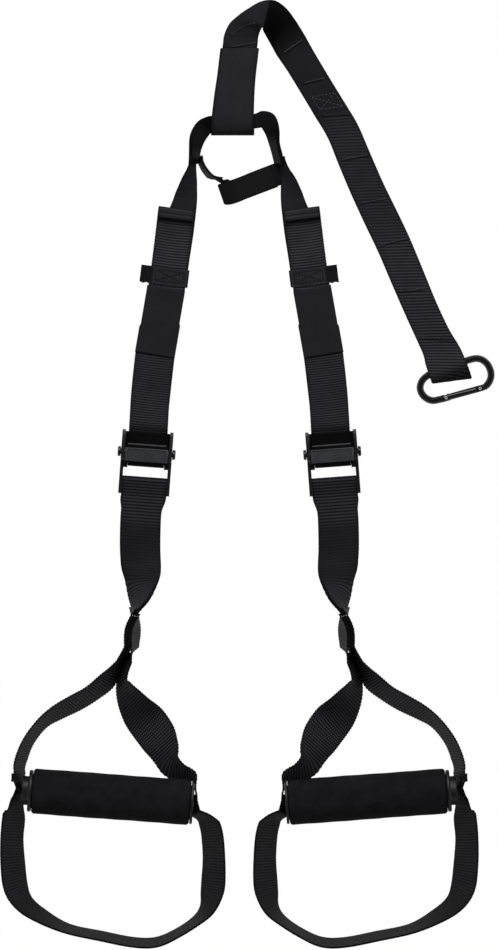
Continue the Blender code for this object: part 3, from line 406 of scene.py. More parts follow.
def onRoute(route, at):
    along = route["along"]
    at = np.clip(np.atleast_1d(np.asarray(at, dtype=float)), 0.0, along[-1])
    i = np.clip(np.searchsorted(along, at, side="right") - 1, 0, len(along) - 2)
    gap = along[i + 1] - along[i]
    t = (at - along[i]) / gap
    gap, t = gap[:, None], t[:, None]
    centre = (
        (2 * t**3 - 3 * t**2 + 1) * route["centre"][i]
        + (t**3 - 2 * t**2 + t) * gap * route["slope"][i]
        + (3 * t**2 - 2 * t**3) * route["centre"][i + 1]
        + (t**3 - t**2) * gap * route["slope"][i + 1]
    )
    turned = []
    for name in ("across", "face"):
        way = (1 - t) * route[name][i] + t * route[name][i + 1]
        turned.append(way / np.linalg.norm(way, axis=1)[:, None])
    t = t[:, 0]
    wide = (1 - t) * route["wide"][i] + t * route["wide"][i + 1]
    thick = (1 - t) * route["thick"][i] + t * route["thick"][i + 1]
    return centre, turned[0], turned[1], wide, thick


def graded(table, at, total, centre):
    if callable(table):
        return np.array([table(*pixel(point)) for point in centre])
    if not isinstance(table, (list, tuple)):
        return np.full(len(at), float(table))
    return np.interp(at / total, [share for share, _ in table], [value for _, value in table])


strapShape = {
    "columns": (-1, -0.978, -0.93, -0.8, -0.54, -0.27, 0, 0.27, 0.54, 0.8, 0.93, 0.978, 1),
    "selvedge": 0.055,  # share of the half width that is rounded off
    "row": 0.0007,
    "grooveSharp": 1.6,
    "scallopFrom": 0.9,  # share of the half width beyond which a groove draws the edge in
    "edgeShade": 0.3,
    "tiltEase": 0.006,
    "cutReach": 0.02,
}

# What a strap may change, by a number, a table from its start (0) to its end (1),
# or a function of the photograph's pixel
plainStrap = {
    "pitch": 0.0028,
    "ribs": 0.0,
    "depth": 0.0003,
    "weft": 0.0,
    # painted shade and painted light: a factor on the strap's colour, darker below 1 and lighter
    # above 1
    "shade": 1.0,
    "skew": 0.0,
    "bow": 0.0,
    "scallop": 0.00035,
    "widen": 1.0,
    "leanTo": None,  # the place whose side of the strap stays put where widen isn't 1
    "nudge": None,  # a function of the pixel that moves the strap by pixels
    "longer": (0.0, 0.0),
    "holds": (),  # (from, to): over this stretch the strap keeps the tilt that it has at "from"
    "cut": 0.0,  # degrees by which the first end is cut aslant
    "dark": 0.0018,  # how far in from each edge the selvedge looks dark
}
# a tack pulls a crease into the strap: its width, its depth, how far past the tack it runs, and
# how much painted shade darkens it
crease = {"wide": 0.0009, "deep": 0.0006, "past": 0.001, "darker": 0.75}


def lengthen(route, before, after):
    # carries a strap on past its ends, under or over what it is sewn to
    for end, more in ((0, before), (-1, after)):
        if more:
            step = route["slope"][end] * (more if end else -more)
            for name, value in list(route.items()):
                extra = value[end] + (step if name == "centre" else 0.0)
                if name == "along":
                    extra = value[end] + (more if end else -more)
                order = (value, [extra]) if end else ([extra], value)
                route[name] = np.concatenate(order)
            route["along"] = route["along"] - route["along"][0]


def holdTilt(route, start, end):
    # keeps the tilt of one station over a stretch, and eases out of it beyond the end
    along = route["along"]
    total = along[-1]
    start, end = (total + d if d < 0 else d for d in (start, end))
    i, ease = int(np.argmin(np.abs(along - start))), strapShape["tiltEase"]
    if start < end:
        within, share = along >= start, (end + ease - along) / ease
    else:
        within, share = along <= start, (along - end + ease) / ease
    share = np.where(within, np.clip(share, 0.0, 1.0), 0.0)
    slope = route["slope"] / np.linalg.norm(route["slope"], axis=1)[:, None]
    held = route["across"][i] - slope * (slope @ route["across"][i])[:, None]
    held = held / np.linalg.norm(held, axis=1)[:, None]
    across = route["across"] * (1 - share[:, None]) + held * share[:, None]
    across = across / np.linalg.norm(across, axis=1)[:, None]
    face = np.cross(slope, across)
    sense = np.sign(np.sum(face * route["face"], axis=1))
    sense[sense == 0] = 1.0
    route["across"] = across
    moved = share[:, None] > 0
    route["face"] = np.where(moved, face * sense[:, None], route["face"])


def layWeave(mesh, lay, weave):
    # where each corner lies on the weave, and each point's shares of rib, weft and shade
    corner = np.empty(len(mesh.loops), dtype=int)
    mesh.loops.foreach_get("vertex_index", corner)
    mesh.uv_layers.new(name="lay").data.foreach_set("uv", lay[corner].ravel())
    colours = mesh.color_attributes.new("weave", "FLOAT_COLOR", "POINT")
    colours.data.foreach_set("color", weave.ravel())


def addStrap(name, nodeName, body, look, startToward=upward, finish="webbing", creases=(), hand=1):
    look = {**plainStrap, **look}
    route = strapRoute(nodeName, startToward)
    lengthen(route, *look["longer"])
    for hold in look["holds"]:
        holdTilt(route, *hold)
    if look["nudge"]:
        moved = [Vector(c) + shift(*look["nudge"](*pixel(c))) for c in route["centre"]]
        route["centre"] = np.array(moved)
    total = route["along"][-1]
    even = np.linspace(0.0, total, max(2, int(total / strapShape["row"])))
    at = np.union1d(even, route["along"])
    at = at[np.concatenate(([True], np.diff(at) > 2e-5))]
    centre, across, face, wide, thick = onRoute(route, at)
    pitch, ribs, skew, bow, weft, shade, widen = (
        graded(look[key], at, total, centre)
        for key in ("pitch", "ribs", "skew", "bow", "weft", "shade", "widen")
    )
    skew = skew * hand
    count = np.concatenate(([0.0], np.cumsum(np.diff(at) / ((pitch[1:] + pitch[:-1]) / 2))))

    columns = np.array(strapShape["columns"], dtype=float)
    edge = strapShape["selvedge"]
    inward = np.clip((np.abs(columns) - (1 - edge)) / edge, 0.0, 1.0)
    rounded = np.sqrt(1 - inward**2)
    ringColumns = np.concatenate((np.arange(len(columns)), np.arange(len(columns) - 2, 0, -1)))
    facing = np.concatenate((np.ones(len(columns)), -np.ones(len(columns) - 2)))
    shareAcross, height = columns[ringColumns], rounded[ringColumns] * facing
    height[np.abs(shareAcross) == 1] = 0.0

    x = shareAcross[None, :] * (wide * widen)[:, None] / 2
    if look["leanTo"]:
        toward = np.array(place(*look["leanTo"]))[None, :] - centre
        side = np.sign(np.sum(toward[:, :2] * across[:, :2], axis=1))
        x = x + (side * wide * (1 - widen) / 2)[:, None]
    phase = count[:, None] + (x * np.tan(np.radians(skew))[:, None]) / pitch[:, None]
    phase = phase + bow[:, None] * shareAcross[None, :] ** 2
    groove = (0.5 + 0.5 * np.cos(2 * math.pi * phase)) ** strapShape["grooveSharp"] * ribs[:, None]
    outer = (np.abs(shareAcross) > strapShape["scallopFrom"])[None, :]
    x = x - np.sign(x) * groove * look["scallop"] * outer
    pressed = np.zeros_like(x)
    for start, end in creases:
        a, b = onStrap(route, start), onStrap(route, end)
        line = a[0] + (x - a[1]) * (b[0] - a[0]) / (b[1] - a[1])
        low, high = min(a[1], b[1]) - crease["past"], max(a[1], b[1]) + crease["past"]
        inside = (x > low) & (x < high)
        fall = np.exp(-(((at[:, None] - line) / crease["wide"]) ** 2)) * inside
        pressed = np.maximum(pressed, fall * (facing * a[2] > 0)[None, :])
    half = thick[:, None] / 2 - look["depth"] * groove - crease["deep"] * pressed
    lift = height[None, :] * half
    points = centre[:, None, :] + across[:, None, :] * x[:, :, None]
    points = points + face[:, None, :] * lift[:, :, None]
    if look["cut"]:
        fade = np.clip(1 - at / strapShape["cutReach"], 0.0, 1.0)
        slant = math.tan(math.radians(look["cut"])) * fade
        points = points + route["slope"][0][None, None, :] * (x * slant[:, None])[:, :, None]
    rows, ring = points.shape[:2]
    faces = ringFaces(rows, ring)
    points = points.reshape(-1, 3).tolist()
    piece = addPiece(name, points, faces, finish, body, (nodeName,))

    # painted shade: each selvedge is darkened over a short way in from its edge
    inside = (1 - np.abs(shareAcross[None, :])) * (wide * widen)[:, None] / 2 / look["dark"]
    edgeShade = strapShape["edgeShade"]
    inside = edgeShade + (1 - edgeShade) * np.clip(inside, 0.0, 1.0)
    weave = np.ones((rows * ring, 4))
    weave[:, 0] = np.repeat(ribs, ring)
    weave[:, 1] = np.repeat(weft, ring)
    # painted shade darkens each crease that a tack pulls down
    weave[:, 2] = (inside * shade[:, None] * (1 - crease["darker"] * pressed)).ravel()
    layWeave(piece.data, np.stack((x.ravel(), phase.ravel()), axis=1), weave)
    return piece, route


# Thread: short stitches and zigzag tacks that lie on a strap's upper face
def addTube(bag, path, radii, around=6):
    start = len(bag["vertices"])
    path = [Vector(p) for p in path]
    side = None
    for i, point in enumerate(path):
        ahead = (path[min(i + 1, len(path) - 1)] - path[max(i - 1, 0)]).normalized()
        side = (side or ahead.orthogonal()) - ahead * (side or ahead.orthogonal()).dot(ahead)
        side.normalize()
        other = ahead.cross(side)
        radius = radii[i] if isinstance(radii, (list, tuple)) else radii
        for k in range(around):
            x, y = math.cos(math.tau * k / around), math.sin(math.tau * k / around)
            bag["vertices"].append(point + side * x * radius + other * y * radius)
    bag["faces"] += ringFaces(len(path), around, start)


def highestAt(route, spot):
    at = np.linspace(0.0, route["along"][-1], 3000)
    centre = onRoute(route, at)[0]
    flat = np.hypot(centre[:, 0] - spot.x, centre[:, 1] - spot.y)
    close = flat < flat.min() + 0.0035
    close &= centre[:, 2] > centre[close, 2].max() - 0.0012
    return at[np.argmin(np.where(close, flat, 1.0))]


def onStrap(route, spot):
    # the point on the strap's upper face under a place seen from above
    at = highestAt(route, spot)
    centre, across, face, wide, _ = (value[0] for value in onRoute(route, at))
    flat = across[:2] / max(np.hypot(*across[:2]), 1e-6)
    x = (spot.x - centre[0]) * flat[0] + (spot.y - centre[1]) * flat[1]
    return at, float(np.clip(x, -wide / 2, wide / 2)), 1.0 if face[2] > 0 else -1.0


def strapPoint(route, at, x, sign, lift):
    centre, across, face, wide, thick = (value[0] for value in onRoute(route, at))
    x = max(-wide / 2, min(wide / 2, x))
    return Vector(centre + across * x + face * sign * (thick / 2 + lift))


stitching = {
    "thread": 0.00034,
    "tackWide": 0.0011,
    "tackPitch": 0.0009,
    "tackLift": 0.35,
    "stitch": 0.0024,
    "gap": 0.0009,
    "from": 0.12,  # share of a step at which the stitch starts, and the share that it takes up
    "reach": 0.68,
}
# along a stitch: the share of its length, then its radius and its height in threads
stitchForm = ((0, 0.3, -0.5), (0.18, 1, 0.4), (0.5, 1, 0.7), (0.82, 1, 0.4), (1, 0.3, -0.5))


def addTack(bag, route, start, end):
    # a bar tack: a close zigzag between two places seen from above
    a, b = onStrap(route, start), onStrap(route, end)
    wide = stitching["tackWide"]
    count = max(4, int((end - start).length / stitching["tackPitch"] * 2))
    path = []
    for i in range(count + 1):
        t = i / count
        at = a[0] + (b[0] - a[0]) * t + (wide / 2 if i % 2 else -wide / 2)
        lift = stitching["thread"] * stitching["tackLift"]
        path.append(strapPoint(route, at, a[1] + (b[1] - a[1]) * t, a[2], lift))
    addTube(bag, path, stitching["thread"], around=5)


def addRun(bag, route, start, end):
    # a row of single stitches between two places seen from above
    a, b = onStrap(route, start), onStrap(route, end)
    count = max(1, round((end - start).length / (stitching["stitch"] + stitching["gap"])))
    for i in range(count):
        path, radii = [], []
        for t, radius, lift in stitchForm:
            s = (i + stitching["from"] + t * stitching["reach"]) / count
            at, x = a[0] + (b[0] - a[0]) * s, a[1] + (b[1] - a[1]) * s
            path.append(strapPoint(route, at, x, a[2], lift * stitching["thread"]))
            radii.append(radius * stitching["thread"])
        addTube(bag, path, radii)


def threadPiece(name, bag, body, finish="sewingThread"):
    return addPiece(name, bag["vertices"], bag["faces"], finish, body)


def newBag():
    return {"vertices": [], "faces": []}


# Anchor strap, its pad, the yoke strap, the locking loop and its tab
def eased(value, start, end):
    t = max(0.0, min(1.0, (value - start) / (end - start)))
    return t * t * (3 - 2 * t)


def anchorRibs(u, v):
    # smooth near the turn, ribbed from the crossed box down to the hook
    return eased(v, 110, 122) * (0.45 + 0.4 * eased(v, 215, 260)) * (u > 280)


def anchorShade(u, v):
    # the strap dips into its own shadow just past the turn and under the roll at the hook
    if u < 266:
        return 1.0
    return (0.01 + 0.99 * eased(v, 26, 60)) * (1 - 0.65 * eased(v, 368, 376))


anchorLook = {
    "slot": "webbing",
    "pitch": 0.0030,
    "ribs": anchorRibs,
    "shade": anchorShade,
    "depth": 0.00026,
    "skew": -22.0,
}
anchorTacks = (
    ((232.5, 32), (254, 30)),
    ((231, 46), (256, 44.4)),
    ((283.6, 51.7), (302.6, 41.2)),
    ((305.3, 82.7), (324.4, 77.9)),
    ((324.4, 115.7), (347.6, 112.4)),
    ((343, 159), (367, 155)),
    ((363, 203), (386, 198)),
    ((381, 245), (407, 238)),
    ((400, 291), (425, 288.5)),
    ((420, 338), (450, 334.5)),
)
boxCorners = ((311.6, 97.8), (334.5, 92.6), (342.6, 105.8), (320.2, 109.8))


def addCrossedBox(bag, route, corners):
    corners = [place(*corner) for corner in corners]
    for i in range(4):
        addRun(bag, route, corners[i - 1], corners[i])
    addRun(bag, route, corners[0], corners[2])
    addRun(bag, route, corners[1], corners[3])


print("anchor")
drop = place(0, 1.6) - place(0, 0)  # each tack's thread lies just above the crease that it pulls
creases = [(place(*start) + drop, place(*end) + drop) for start, end in anchorTacks]
_, anchorRoute = addStrap(
    "anchor_webbing", "anchor_strap", "anchor", anchorLook, Vector((0, 1, 0)), creases=creases
)
bag = newBag()
for start, end in anchorTacks:
    addTack(bag, anchorRoute, place(*start), place(*end))
addCrossedBox(bag, anchorRoute, boxCorners)
threadPiece("anchor_stitching", bag, "anchor")

# painted light over the pad's upper part and painted shade darkening it toward its lower end
padLook = {"slot": "sleeve", "dark": 0.0026, "shade": lambda u, v: 1.2 - 0.6 * eased(v, 112, 133)}
addStrap("anchor_pad", "anchor_sleeve", "anchor", padLook, Vector((0, 1, 0)), "coatedCloth")


def bump(offset, reach):
    return math.exp(-((offset / reach) ** 2))


yokeFolds = ((194, 148), (275, 136), (208, 127))


def yokeShade(u, v):
    # painted shade: its folds are darkened where it leaves the pad and where it twists into the
    # arms
    folds = max(math.exp(-((u - s) ** 2 + (v - t) ** 2) / 40) for s, t in yokeFolds)
    return 0.54 - 0.44 * folds


yokeLook = {"slot": "webbing", "ribs": 0.06, "longer": (0.005, 0.005), "shade": yokeShade}
addStrap("yoke_webbing", "yoke_strap", "anchor", yokeLook, Vector((-1, 0, 0)))
loopLook = {
    "slot": "webbing",
    "ribs": 0.06,
    "shade": 0.6,
    "longer": (0.003, 0.0),
    "widen": ((0, 0.5), (0.05, 0.9), (0.2, 1), (0.27, 0.36), (0.5, 0.36), (0.6, 1), (1, 1)),
    "leanTo": (232, 100),
    "nudge": lambda u, v: (1.6 * bump(v - 189, 5), -2.0 * bump(v - 190, 4) * (u < 232)),
}
addStrap("locking_loop", "locking_loop_strap", "anchor", loopLook, Vector((-1, 0, 0)))
tabLook = {
    "slot": "webbing",
    "shade": 0.5,
    "cut": -14.0,
    "widen": ((0, 1.16), (0.03, 1.04), (0.1, 1.0), (1, 1.0)),
}
addStrap("peel_tab", "locking_tab", "tab", tabLook, Vector((-1, 0, 0)), "coatedCloth")


# Arms: main straps, tails, keeper bands and sleeves
mainLook = {
    "slot": "webbing",
    "ribs": 0.04,
    "shade": 1.3,
    "longer": (0.003, 0.0),
    "nudge": lambda u, v: (-2.6 * (u > photo["mirror"]) * (1 - eased(v, 158, 185)), 0.0),
}
mainLowerLook = {"slot": "webbing", "ribs": 0.3, "longer": (0.0, 0.004)}


def tailShade(u, v):
    # painted highlights on two rolls at the hem and painted shadow in the step below them, then
    # ribs that flatten downward
    v = v + 0.1 * abs(u - photo["mirror"]) - 7
    rolls = max(math.exp(-((v - s) ** 2) / 3) for s in (210.5, 215.5))
    return 0.75 + 1.1 * rolls - 0.6 * math.exp(-((v - 220.5) ** 2) / 7) + 0.35 * eased(v, 222, 226)


tailLook = {
    "slot": "webbing",
    "pitch": 0.0025,
    "ribs": ((0, 0.2), (0.3, 0.9), (0.6, 0.9), (1, 0.7)),
    "depth": 0.00042,
    "bow": 0.25,
    "shade": tailShade,
}
tailLowerLook = {
    "slot": "webbing",
    "pitch": 0.0023,
    "ribs": lambda u, v: 0.62 + 0.2 * eased(v, 385, 420),
    # painted shade, darker toward the end that runs in under the cam
    "shade": lambda u, v: 1.0 - 0.5 * eased(v, 422, 430),
    "depth": 0.0004,
    "bow": 0.2,
    "longer": (0.008, 0.004),
}


def armWay(side):
    return Vector(joints[side + "_length"]["axis"]).normalized()


def along(piece, way):
    reach = [v.co.dot(way) for v in piece.data.vertices]
    middle = sum((v.co for v in piece.data.vertices), Vector()) / len(piece.data.vertices)
    return [middle + way * (end - middle.dot(way)) for end in (min(reach), max(reach))]


bandShape = {
    "wall": 0.0010,
    "round": 0.0014,
    "aroundSteps": 96,
    "row": 0.0006,
    "crown": 0.0005,  # how far the middle of a keeper stands above its sides
    "settle": 0.0003,
    "pitch": 0.0028,
    "innerShade": 0.45,
    "sleeveTurn": 2.73,  # degrees between a sleeve and its arm
}


def addBand(name, nodeName, body, way, look, finish, slotName):
    # a flat sewn tube round the straps, its axis along the arm
    y = -way
    x = y.cross(upward).normalized()
    turn = Matrix((x, y, upward)).transposed()
    spots = [turn.inverted() @ v.co for v in frame["nodes"][nodeName].data.vertices]
    low = Vector(min(s[k] for s in spots) for k in range(3))
    high = Vector(max(s[k] for s in spots) for k in range(3))
    middle, half = (low + high) / 2, (high - low) / 2
    steps = bandShape["aroundSteps"]
    rows = max(6, int(2 * half.y / bandShape["row"]))
    vertices, faces, layCoords, shades = [], [], [], []
    girth = 4 * (half.x + half.z)

    def outline(share, inset):
        # a rounded rectangle, walked by its own length from the middle of the top
        radius = min(bandShape["round"], half.z * 0.9)
        a, b = half.x - inset, half.z - inset
        radius = max(0.0002, radius - inset * 0.5)
        flatX, flatZ, arc = 2 * (a - radius), 2 * (b - radius), math.pi / 2 * radius
        whole = 2 * (flatX + flatZ) + 4 * arc
        d = (share % 1.0) * whole - flatX / 2
        corners = ((a, b, 0), (a, -b, 1), (-a, -b, 2), (-a, b, 3))
        if d < 0:
            return d + flatX / 2, b
        for cx, cz, quarter in corners:
            sx, sz = math.copysign(a - radius, cx), math.copysign(b - radius, cz)
            if d <= arc:
                angle = math.pi / 2 - quarter * math.pi / 2 - d / max(radius, 1e-9)
                return sx + radius * math.cos(angle), sz + radius * math.sin(angle)
            d -= arc
            run = flatZ if quarter % 2 == 0 else flatX
            if d <= run:
                dx, dz = ((0, -1), (-1, 0), (0, 1), (1, 0))[quarter]
                angle = math.pi / 2 - (quarter + 1) * math.pi / 2
                px, pz = sx + radius * math.cos(angle), sz + radius * math.sin(angle)
                return px + dx * d, pz + dz * d
            d -= run
        return 0.0, b

    for layer, inset in ((0, 0.0), (1, bandShape["wall"])):
        for r in range(rows + 1):
            y0 = -half.y + 2 * half.y * r / rows
            for k in range(steps):
                px, pz = outline(k / steps, inset)
                spot = turn @ (middle + Vector((px, y0, pz)))
                share = (px / half.x, y0 / half.y, pz / half.z)
                dx, dy, dz, shade = look(*share, *pixel(spot))
                lip = 1.0 - 0.25 * max(0.0, abs(share[1]) - 0.97) / 0.03
                spot = Vector((px + dx, y0 + dy, pz * (lip if layer == 0 else 1.0) + dz))
                vertices.append(turn @ (middle + spot))
                # painted shade: the narrow sides and the inner wall are darkened
                dim = abs(share[0]) > 0.96 or layer
                shades.append(shade * (bandShape["innerShade"] if dim else 1.0))
                layCoords.append((y0, k / steps * girth / bandShape["pitch"]))
    ring = steps * (rows + 1)
    for r in range(rows):
        for k in range(steps):
            a, b = r * steps + k, r * steps + (k + 1) % steps
            faces.append((a, b, b + steps, a + steps))
            faces.append((ring + a, ring + a + steps, ring + b + steps, ring + b))
    for r, flip in ((0, False), (rows, True)):
        for k in range(steps):
            a, b = r * steps + k, r * steps + (k + 1) % steps
            quad = (a, ring + a, ring + b, b)
            faces.append(tuple(reversed(quad)) if flip else quad)
    piece = addPiece(name, vertices, faces, finish, body, (nodeName,))
    weave = np.tile((0.1 if finish == "webbing" else 0.0, 0.0, 1.0, 1.0), (len(vertices), 1))
    weave[:, 2] = shades
    layWeave(piece.data, np.array(layCoords), weave)
    return turn, middle, half


keeperBox = {"across": (-0.80, 0.36), "along": (-0.62, 0.66), "thread": 0.00052, "stitch": 0.0032}


def addKeeperBox(name, keeper, hand, body):
    # a crossed box sewn with heavy black thread on the band's upper face
    turn, middle, half = keeper
    bag = newBag()
    (near, far), (low, high) = keeperBox["across"], keeperBox["along"]
    corners = [(near, low), (far, low), (far, high), (near, high)]
    lines = [(corners[i - 1], corners[i]) for i in range(4)] + [corners[::2], corners[1::2]]
    for start, end in lines:
        start, end = (Vector((hand * x * half.x, y * half.y, half.z)) for x, y in (start, end))
        count = max(2, round((end - start).length / keeperBox["stitch"]))
        for i in range(count):
            path, radii = [], []
            for t, radius in ((0, 0.4), (0.2, 1.0), (0.5, 1.0), (0.8, 1.0), (1, 0.4)):
                spot = start.lerp(end, (i + 0.06 + 0.88 * t) / count)
                crown = bandShape["crown"] * (1 - (spot.x / half.x) ** 2) - bandShape["settle"]
                lift = Vector((0, 0, crown + 0.00012 - 0.0003 * (t in (0, 1))))
                path.append(turn @ (middle + spot + lift))
                radii.append(radius * keeperBox["thread"])
            addTube(bag, path, radii)
    threadPiece(name, bag, body, "waxedThread")


print("arms")
for side in sides:
    way = armWay(side)
    hand = -1 if side == "left" else 1
    addStrap(side + "_main_webbing", side + "_main_strap", "anchor", mainLook, -way)
    piece, _ = addStrap(side + "_main_feed", side + "_main_strap_lower", None, mainLowerLook, -way)
    start, end = along(piece, way)
    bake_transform(piece)
    tailBody = side + "_tail"
    addStrap(side + "_tail_webbing", side + "_tail_strap", tailBody, tailLook, -way)
    piece, _ = addStrap(side + "_tail_feed", side + "_tail_strap_lower", None, tailLowerLook, -way)
    start, end = along(piece, way)
    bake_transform(piece)

    def keeperLook(px, py, pz, u, v, hand=hand):
        # painted shade darkens the outer end, a dark open loop; the lower edge is lumpy and
        # painted lighter as a painted highlight where it catches the light
        crown = bandShape["crown"] * (1 - px * px) if pz > 0.5 else 0.0
        shade = 1.6 - 1.1 * eased(hand * px, 0.45, 0.52) * (py < 0.9)
        shade += 0.9 * eased(-py, 0.78, 0.86) * (0.6 + 0.4 * math.sin(px * 40))
        lumps = 0.0005 * math.sin(px * 24) * (py < -0.8)
        return 0.0, lumps, crown - bandShape["settle"], shade

    keeper = addBand(
        side + "_keeper", side + "_keeper_band", tailBody, way, keeperLook, "webbing", "webbing"
    )
    addKeeperBox(side + "_keeper_stitching", keeper, hand, tailBody)
    tilt = Matrix.Rotation(math.radians(hand * bandShape["sleeveTurn"]), 3, "Z")

    def sleeveLook(px, py, pz, u, v, hand=hand):
        # the lower half is a second turn of cloth, so it stands out a little; painted shade
        # darkens its lower edge and the step where that turn begins
        lower = eased(v, 324, 326)
        dip = (0.0002 * math.cos(py * 5) - 0.0002 - 0.0003 * (1 - lower)) if pz > 0.5 else 0.0
        shade = 1.0 - 0.75 * eased(-py, 0.95, 0.975) - 0.25 * math.exp(-((v - 325) ** 2) / 2)
        return -0.0009 * px * (1 - lower), 0.0, dip, shade

    cloth = ("coatedCloth", "sleeve")
    addBand(side + "_sleeve", side + "_strap_sleeve", tailBody, tilt @ way, sleeveLook, *cloth)


turnSteps = 96


def addTurned(name, profile, origin, axis, finish, body, slotName, nodes, wobble=0.0):
    side = upward.cross(axis).normalized()
    steps = turnSteps
    vertices, faces = [], []
    for alongAxis, radius in profile:
        for k in range(steps):
            turn = math.tau * k / steps
            bulge = wobble * math.sin(2 * turn + alongAxis * 90) * math.cos(alongAxis * 150)
            spoke = side * math.cos(turn) + upward * math.sin(turn)
            vertices.append(origin + axis * alongAxis + spoke * (radius + bulge))
    for i in range(len(profile)):
        j = (i + 1) % len(profile)
        for k in range(steps):
            n = (k + 1) % steps
            faces.append((i * steps + k, j * steps + k, j * steps + n, i * steps + n))
    return addPiece(name, vertices, faces, finish, body, nodes)


def turnedExtent(nodeName, origin, axis):
    reach, radii = [], []
    for vertex in frame["nodes"][nodeName].data.vertices:
        offset = vertex.co - origin
        reach.append(offset.dot(axis))
        radii.append((offset - axis * reach[-1]).length)
    return min(reach), max(reach), min(radii), max(radii)


def roundedTube(low, high, inner, outer, edge, rows):
    turns = [math.pi / 2 * i / 6 for i in range(7)]
    rim = [(edge * (1 - math.sin(t)), outer - edge * (1 - math.cos(t))) for t in turns]
    profile = [(low + offset, radius) for offset, radius in reversed(rim)]
    for i in range(1, rows):
        profile.append((low + edge + (high - low - 2 * edge) * i / rows, outer))
    profile += [(high - offset, radius) for offset, radius in rim]
    return profile + [(high, inner), (low, inner)]


# Buckles: copies of the frame's own solids with rolled edges and their real finishes
rolledEdge = {"frame": 0.0006, "cam": 0.0004, "pin": 0.0003, "bar": 0.0002, "tube": 0.0004}


def addRolled(nodeName, body, finish, edge):
    mesh = frame["nodes"][nodeName].data.copy()
    mesh.name = nodeName + "_rolled"
    bm = bmesh.new()
    bm.from_mesh(mesh)
    bmesh.ops.remove_doubles(bm, verts=bm.verts, dist=2e-6)
    flat = math.radians(1.0)
    bmesh.ops.dissolve_limit(bm, angle_limit=flat, verts=bm.verts, edges=bm.edges)
    bm.to_mesh(mesh)
    bm.free()
    for polygon in mesh.polygons:
        polygon.use_smooth = True
    mesh.materials.clear()
    mesh.materials.append(materials[finish])
    piece = addObject(nodeName + "_rolled", mesh)
    roll = piece.modifiers.new("rolledEdge", "BEVEL")
    roll.width, roll.segments, roll.angle_limit = edge, 3, math.radians(34)
    roll.harden_normals = True
    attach(piece, body)
    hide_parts(nodeName)
    return piece


buckleShape = {
    "shoulder": (0.0168, 0.0207, 0.0031),  # from, to and radius, either side of the crossbar
    "shoulderDown": 0.0113,
    "shoulderHigh": 0.0042,
    "ridge": (0.0178, 0.0009),  # half length and radius of the bright lip on the thumb lever
    "ridgeUp": 0.0072,
    "ridgeHigh": 0.0166,
    "leverFrom": 0.0034,
}
buckleLook = {"slot": "webbing", "pitch": 0.0026, "ribs": 0.2, "shade": 0.5}


print("buckles")
for side in sides:
    buckle = side + "_buckle"
    pin = joints[side + "_cam_lift"]
    across = -Vector(pin["axis"]).normalized()
    up = upward.cross(across)
    origin = Vector(pin["pos_m"])
    origin.z = 0.0
    addRolled(side + "_buckle_frame", buckle, "powderCoatedSteel", rolledEdge["frame"])
    cam = addRolled(side + "_cam", side + "_cam", "coatedCastZinc", rolledEdge["cam"])
    cam.data.materials.append(materials["paintedShadeRoughZinc"])
    for polygon in cam.data.polygons:
        # painted shade: the thumb lever above the panel is painted darker than the panel
        polygon.material_index = int((polygon.center - origin).dot(up) > buckleShape["leverFrom"])
    addRolled(side + "_cam_pin", buckle, "blackenedSteel", rolledEdge["pin"])
    addRolled(side + "_strap_bar", buckle, "powderCoatedSteel", rolledEdge["bar"])
    frame["nodes"][side + "_cam_spring"].material_slots[0].material = materials["blackenedSteel"]
    addStrap(side + "_buckle_webbing", side + "_buckle_strap", buckle, buckleLook, -armWay(side))
    near, far, radius = buckleShape["shoulder"]
    shoulder = roundedTube(near, far, 0.0004, radius, 0.0006, 2)
    spot = origin - up * buckleShape["shoulderDown"] + upward * buckleShape["shoulderHigh"]
    for end, away in (("a", across), ("b", -across)):
        name = f"{side}_crossbar_shoulder_{end}"
        addTurned(name, shoulder, spot, away, "powderCoatedSteel", buckle, "buckle", ())
    reach, radius = buckleShape["ridge"]
    ridge = roundedTube(-reach, reach, 0.0002, radius, 0.0004, 2)
    spot = origin + up * buckleShape["ridgeUp"] + upward * buckleShape["ridgeHigh"]
    addTurned(side + "_lever_lip", ridge, spot, across, "coatedCastZinc", side + "_cam", "cam", ())


# Handles: the doubled lower strap, the strap through the grip, and the foot cradle
def outerPixel(u):
    # the same place on the other arm for a pixel right of the mirror line
    return u if u < photo["mirror"] else 2 * photo["mirror"] - u


lowerLook = {
    "slot": "webbing",
    "pitch": 0.0029,
    "ribs": lambda u, v: 0.8 - 0.65 * eased(v, 515, 530) * (1 - eased(v, 575, 590)),
    # painted shade, darker toward its lower end
    "shade": lambda u, v: 0.9 - 0.2 * eased(v, 590, 612),
    "skew": lambda u, v: 30.0 * eased(v, 570, 600),
    "widen": lambda u, v: 1.0 + 0.12 * (1 - eased(v, 498, 512)),
    "depth": 0.00034,
}


def handleShade(u, v):
    # painted shadow: a hollow just below the twist, the part that leans against the outer arm, and
    # the outer arm's end by the grip are darkened
    u = outerPixel(u)
    hollow = math.exp(-(((u - 146) / 12) ** 2) - ((v - 702) / 11) ** 2)
    inner = 1.0 - 0.4 * eased(u, 135, 150) * eased(v, 685, 715)
    return (1.0 - 0.8 * hollow) * (1.0 - 0.5 * eased(v, 768, 784) * (u < 60)) * inner


def handleNudge(u, v):
    # beside the grip's inner end the strap lies close against the ring
    toRing = math.copysign(2.2, u - photo["mirror"]) * (outerPixel(u) > 185)
    return toRing * bump(v - 787, 8), 0.0


